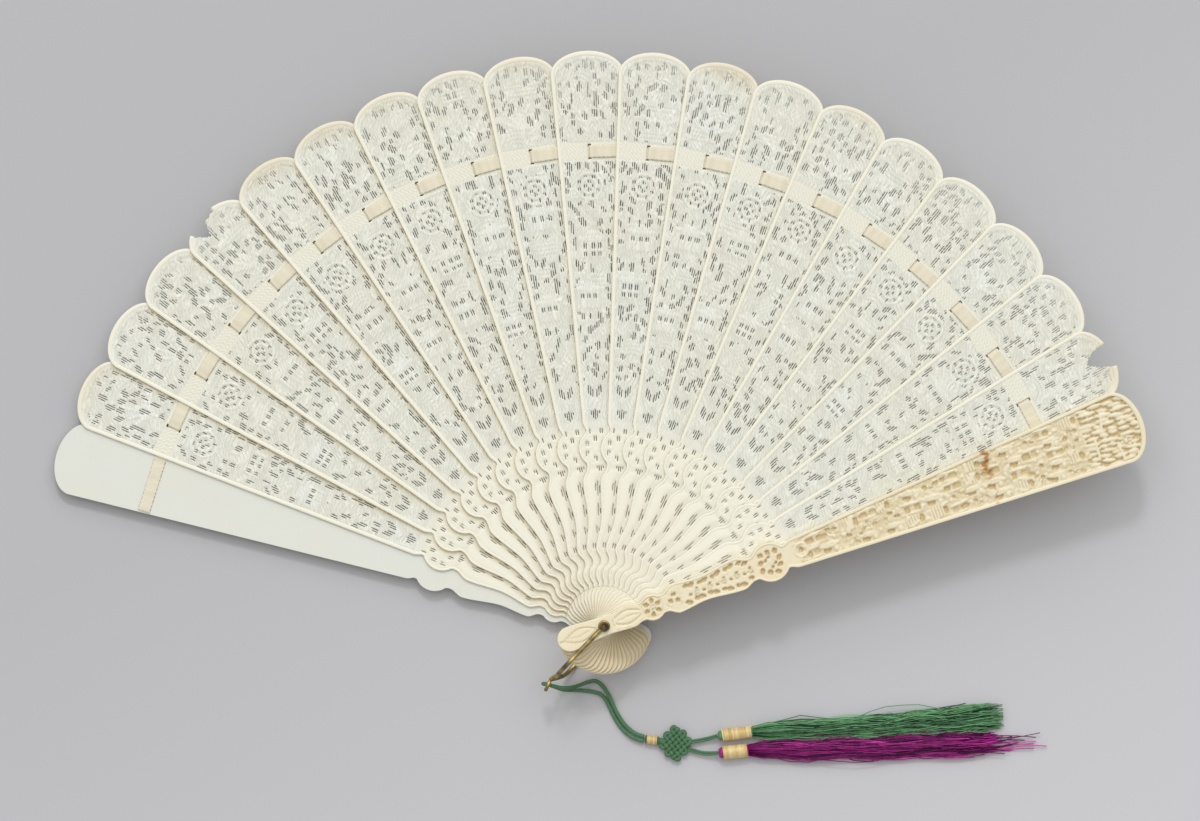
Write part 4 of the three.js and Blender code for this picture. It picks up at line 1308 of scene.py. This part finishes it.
shape = Shape()
for sign, angle in ((1, 45), (-1, 135)):
    path = knotPath(sign)
    x, y = turned(path[:, 0], path[:, 1], angle)
    x, y = turned(x * knot["scale"][0], y * knot["scale"][1], knot["turn"])
    path = np.stack((x, y, path[:, 2]), -1) + np.array(knot["centre"])
    tube(shape, spline(path, 420), knot["radius"], 14, knot["lay"], tone=0.5)
tube(shape, spline(knot["stem"], 16), 1.0, 14, tone=0.45)
woven = shape.piece("silk_knot", paints["cord"], "cord", ["knot"])
print("stage: knot")

tassels = {
    "green": {
        "start": (37.8, -35.5), "end": (47.7, -34.3), "radius": 2.05, "skirt": ((43.2, -2.6), (87.5, -4.6)),
        "halves": (1.6, 2.9, 3.5, 3.8), "heights": (3.3, 3.6, 3.3, 2.5), "reach": 0.955, "strays": 1.05,
        "strands": 340, "seed": 31,
        "loop": (
            (28.0, -37.6, 1.6), (28.6, -37.5, 1.6), (31, -37.1, 1.4),
            (33.4, -36.6, 1.6), (36.4, -35.75, 2.15),
        ),
    },
    "purple": {
        "start": (38.1, -41.1), "end": (46.3, -40.3), "radius": 2.25, "skirt": ((42.8, -2.97), (89.8, -5.6)),
        "halves": (1.7, 2.9, 3.4, 3.2), "heights": (3.6, 3.8, 3.4, 2.5), "reach": 0.9, "strays": 1.22,
        "strands": 340, "seed": 32,
        "loop": (
            (26.8, -39.8, 1.6), (27.4, -40, 1.6), (29.8, -40.8, 1.4),
            (32.4, -41.3, 1.6), (36.7, -41.25, 2.35),
        ),
    },
}
silk = {
    "clumps": 28, "rings": 16, "stray": 0.08, "thick": (0.14, 0.2),
    "pack": 0.92, "lowest": 0.22, "lift": 0.1,
}
loopCord = {"apart": 0.34, "radius": 0.36, "around": 10, "lay": (2, 0.1, 2.4), "tone": 0.6}


def skirtStrands(shape, place, s, length):
    # each strand keeps its own place in the section, waves with its clump and wanders more towards its end;
    # a stray one runs on and bows out to its side
    rng = np.random.default_rng(s["seed"])
    middle = spline(((length - 0.6, 0), *s["skirt"]), 60)
    sideways = unit(np.stack((-np.gradient(middle[:, 1]), np.gradient(middle[:, 0])), -1))
    shares = np.linspace(0, 1, len(middle))
    follow = lambda t, columns: np.stack([np.interp(t, shares, column) for column in columns.T], -1)
    clumps = rng.uniform(size=(silk["clumps"], 5))
    for index in range(s["strands"]):
        inner, around, waves, start, shade = clumps[index % len(clumps)]
        away = np.clip(math.sqrt(inner) + 0.1 * rng.normal(), 0, 1)
        angle = 2 * np.pi * around + 0.2 * rng.normal()
        stray = rng.uniform() < silk["stray"]
        reach = np.clip(rng.normal(s["reach"], 0.05), 0.75, 1.04)
        reach *= rng.uniform(1, s["strays"]) if stray else 1
        t = np.linspace(0, 1, silk["rings"]) ** 0.95 * reach
        wave = 0.16 * np.sin(2 * np.pi * ((3 + 1.5 * waves) * t + start + 0.15 * rng.normal()))
        wave = wave * np.clip(8 * t, 0, 1)
        wander = 0.12 * t**0.8 * np.sin(2 * np.pi * (rng.uniform(1.2, 3.2) * t + rng.uniform()))
        across = away * math.cos(angle) + wave + wander + 0.25 * rng.normal() * t**2
        first = rng.uniform(0, 0.6)
        bow = np.sin(np.pi * np.clip((t - first) / rng.uniform(0.25, 0.5), 0, 1)) ** 2
        across += stray * rng.uniform(0.4, 1.1) * math.copysign(1, math.cos(angle)) * bow
        up = away * math.sin(angle) + 0.5 * wave
        half, height = (np.interp(t, (0, 0.06, 0.5, 1), s[key]) for key in ("halves", "heights"))
        beyond = np.maximum(t - 1, 0)[:, None] * (middle[-1] - middle[-2]) * (len(middle) - 1)
        flat = follow(t, middle) + beyond + follow(t, sideways) * (half * across * silk["pack"])[:, None]
        z = np.maximum(height / 2 * (1 + silk["pack"] * up) + silk["lift"], silk["lowest"])
        path = place(np.concatenate((flat, (z - (s["radius"] + silk["lift"]))[:, None]), -1))
        # painted glints: each strand's tone, set by its clump and at random, picks between the silk's painted
        # shade and painted highlight
        tube(shape, path, rng.uniform(*silk["thick"]), 3, tone=1.3 * shade - 0.3 + rng.uniform(-0.45, 0.45))


for name, s in tassels.items():
    body = name + "_tassel"
    place, length = axisFrame(s["start"], s["end"], s["radius"] + silk["lift"])
    core = s["radius"] - goldThread["wide"] - 0.05
    shape = Shape()
    lathe(shape, (
        (0.05, -1.3), (0.6 * core, -1.22), (0.9 * core, -0.8), (core, -0.3), (core, length - 0.2),
        (0.9 * core, length + 0.1), (0.05, length + 0.2),
    ), 28, place=place, tone=0.35)
    shape.piece("silk_head_" + name, paints[name], body, [name + "_head"])
    shape = Shape()
    windThread(shape, place, s["radius"], 0.05, length - 0.05, s["seed"])
    shape.piece("gold_winding_" + name, paints["gold"], body, [name + "_winding"])
    shape = Shape()
    skirtStrands(shape, place, s, length)
    shape.piece("silk_skirt_" + name, paints[name], body, [name + "_skirt"])
    shape = Shape()
    path = spline(s["loop"], 60)
    for side in (-1, 1):
        beside = path + side * loopCord["apart"] * sides(path)[0]
        tube(shape, beside, loopCord["radius"], loopCord["around"], loopCord["lay"], tone=loopCord["tone"])
    shape.piece("silk_loop_" + name, paints["cord"], body, ["loop_" + name])
print("stage: tassels")
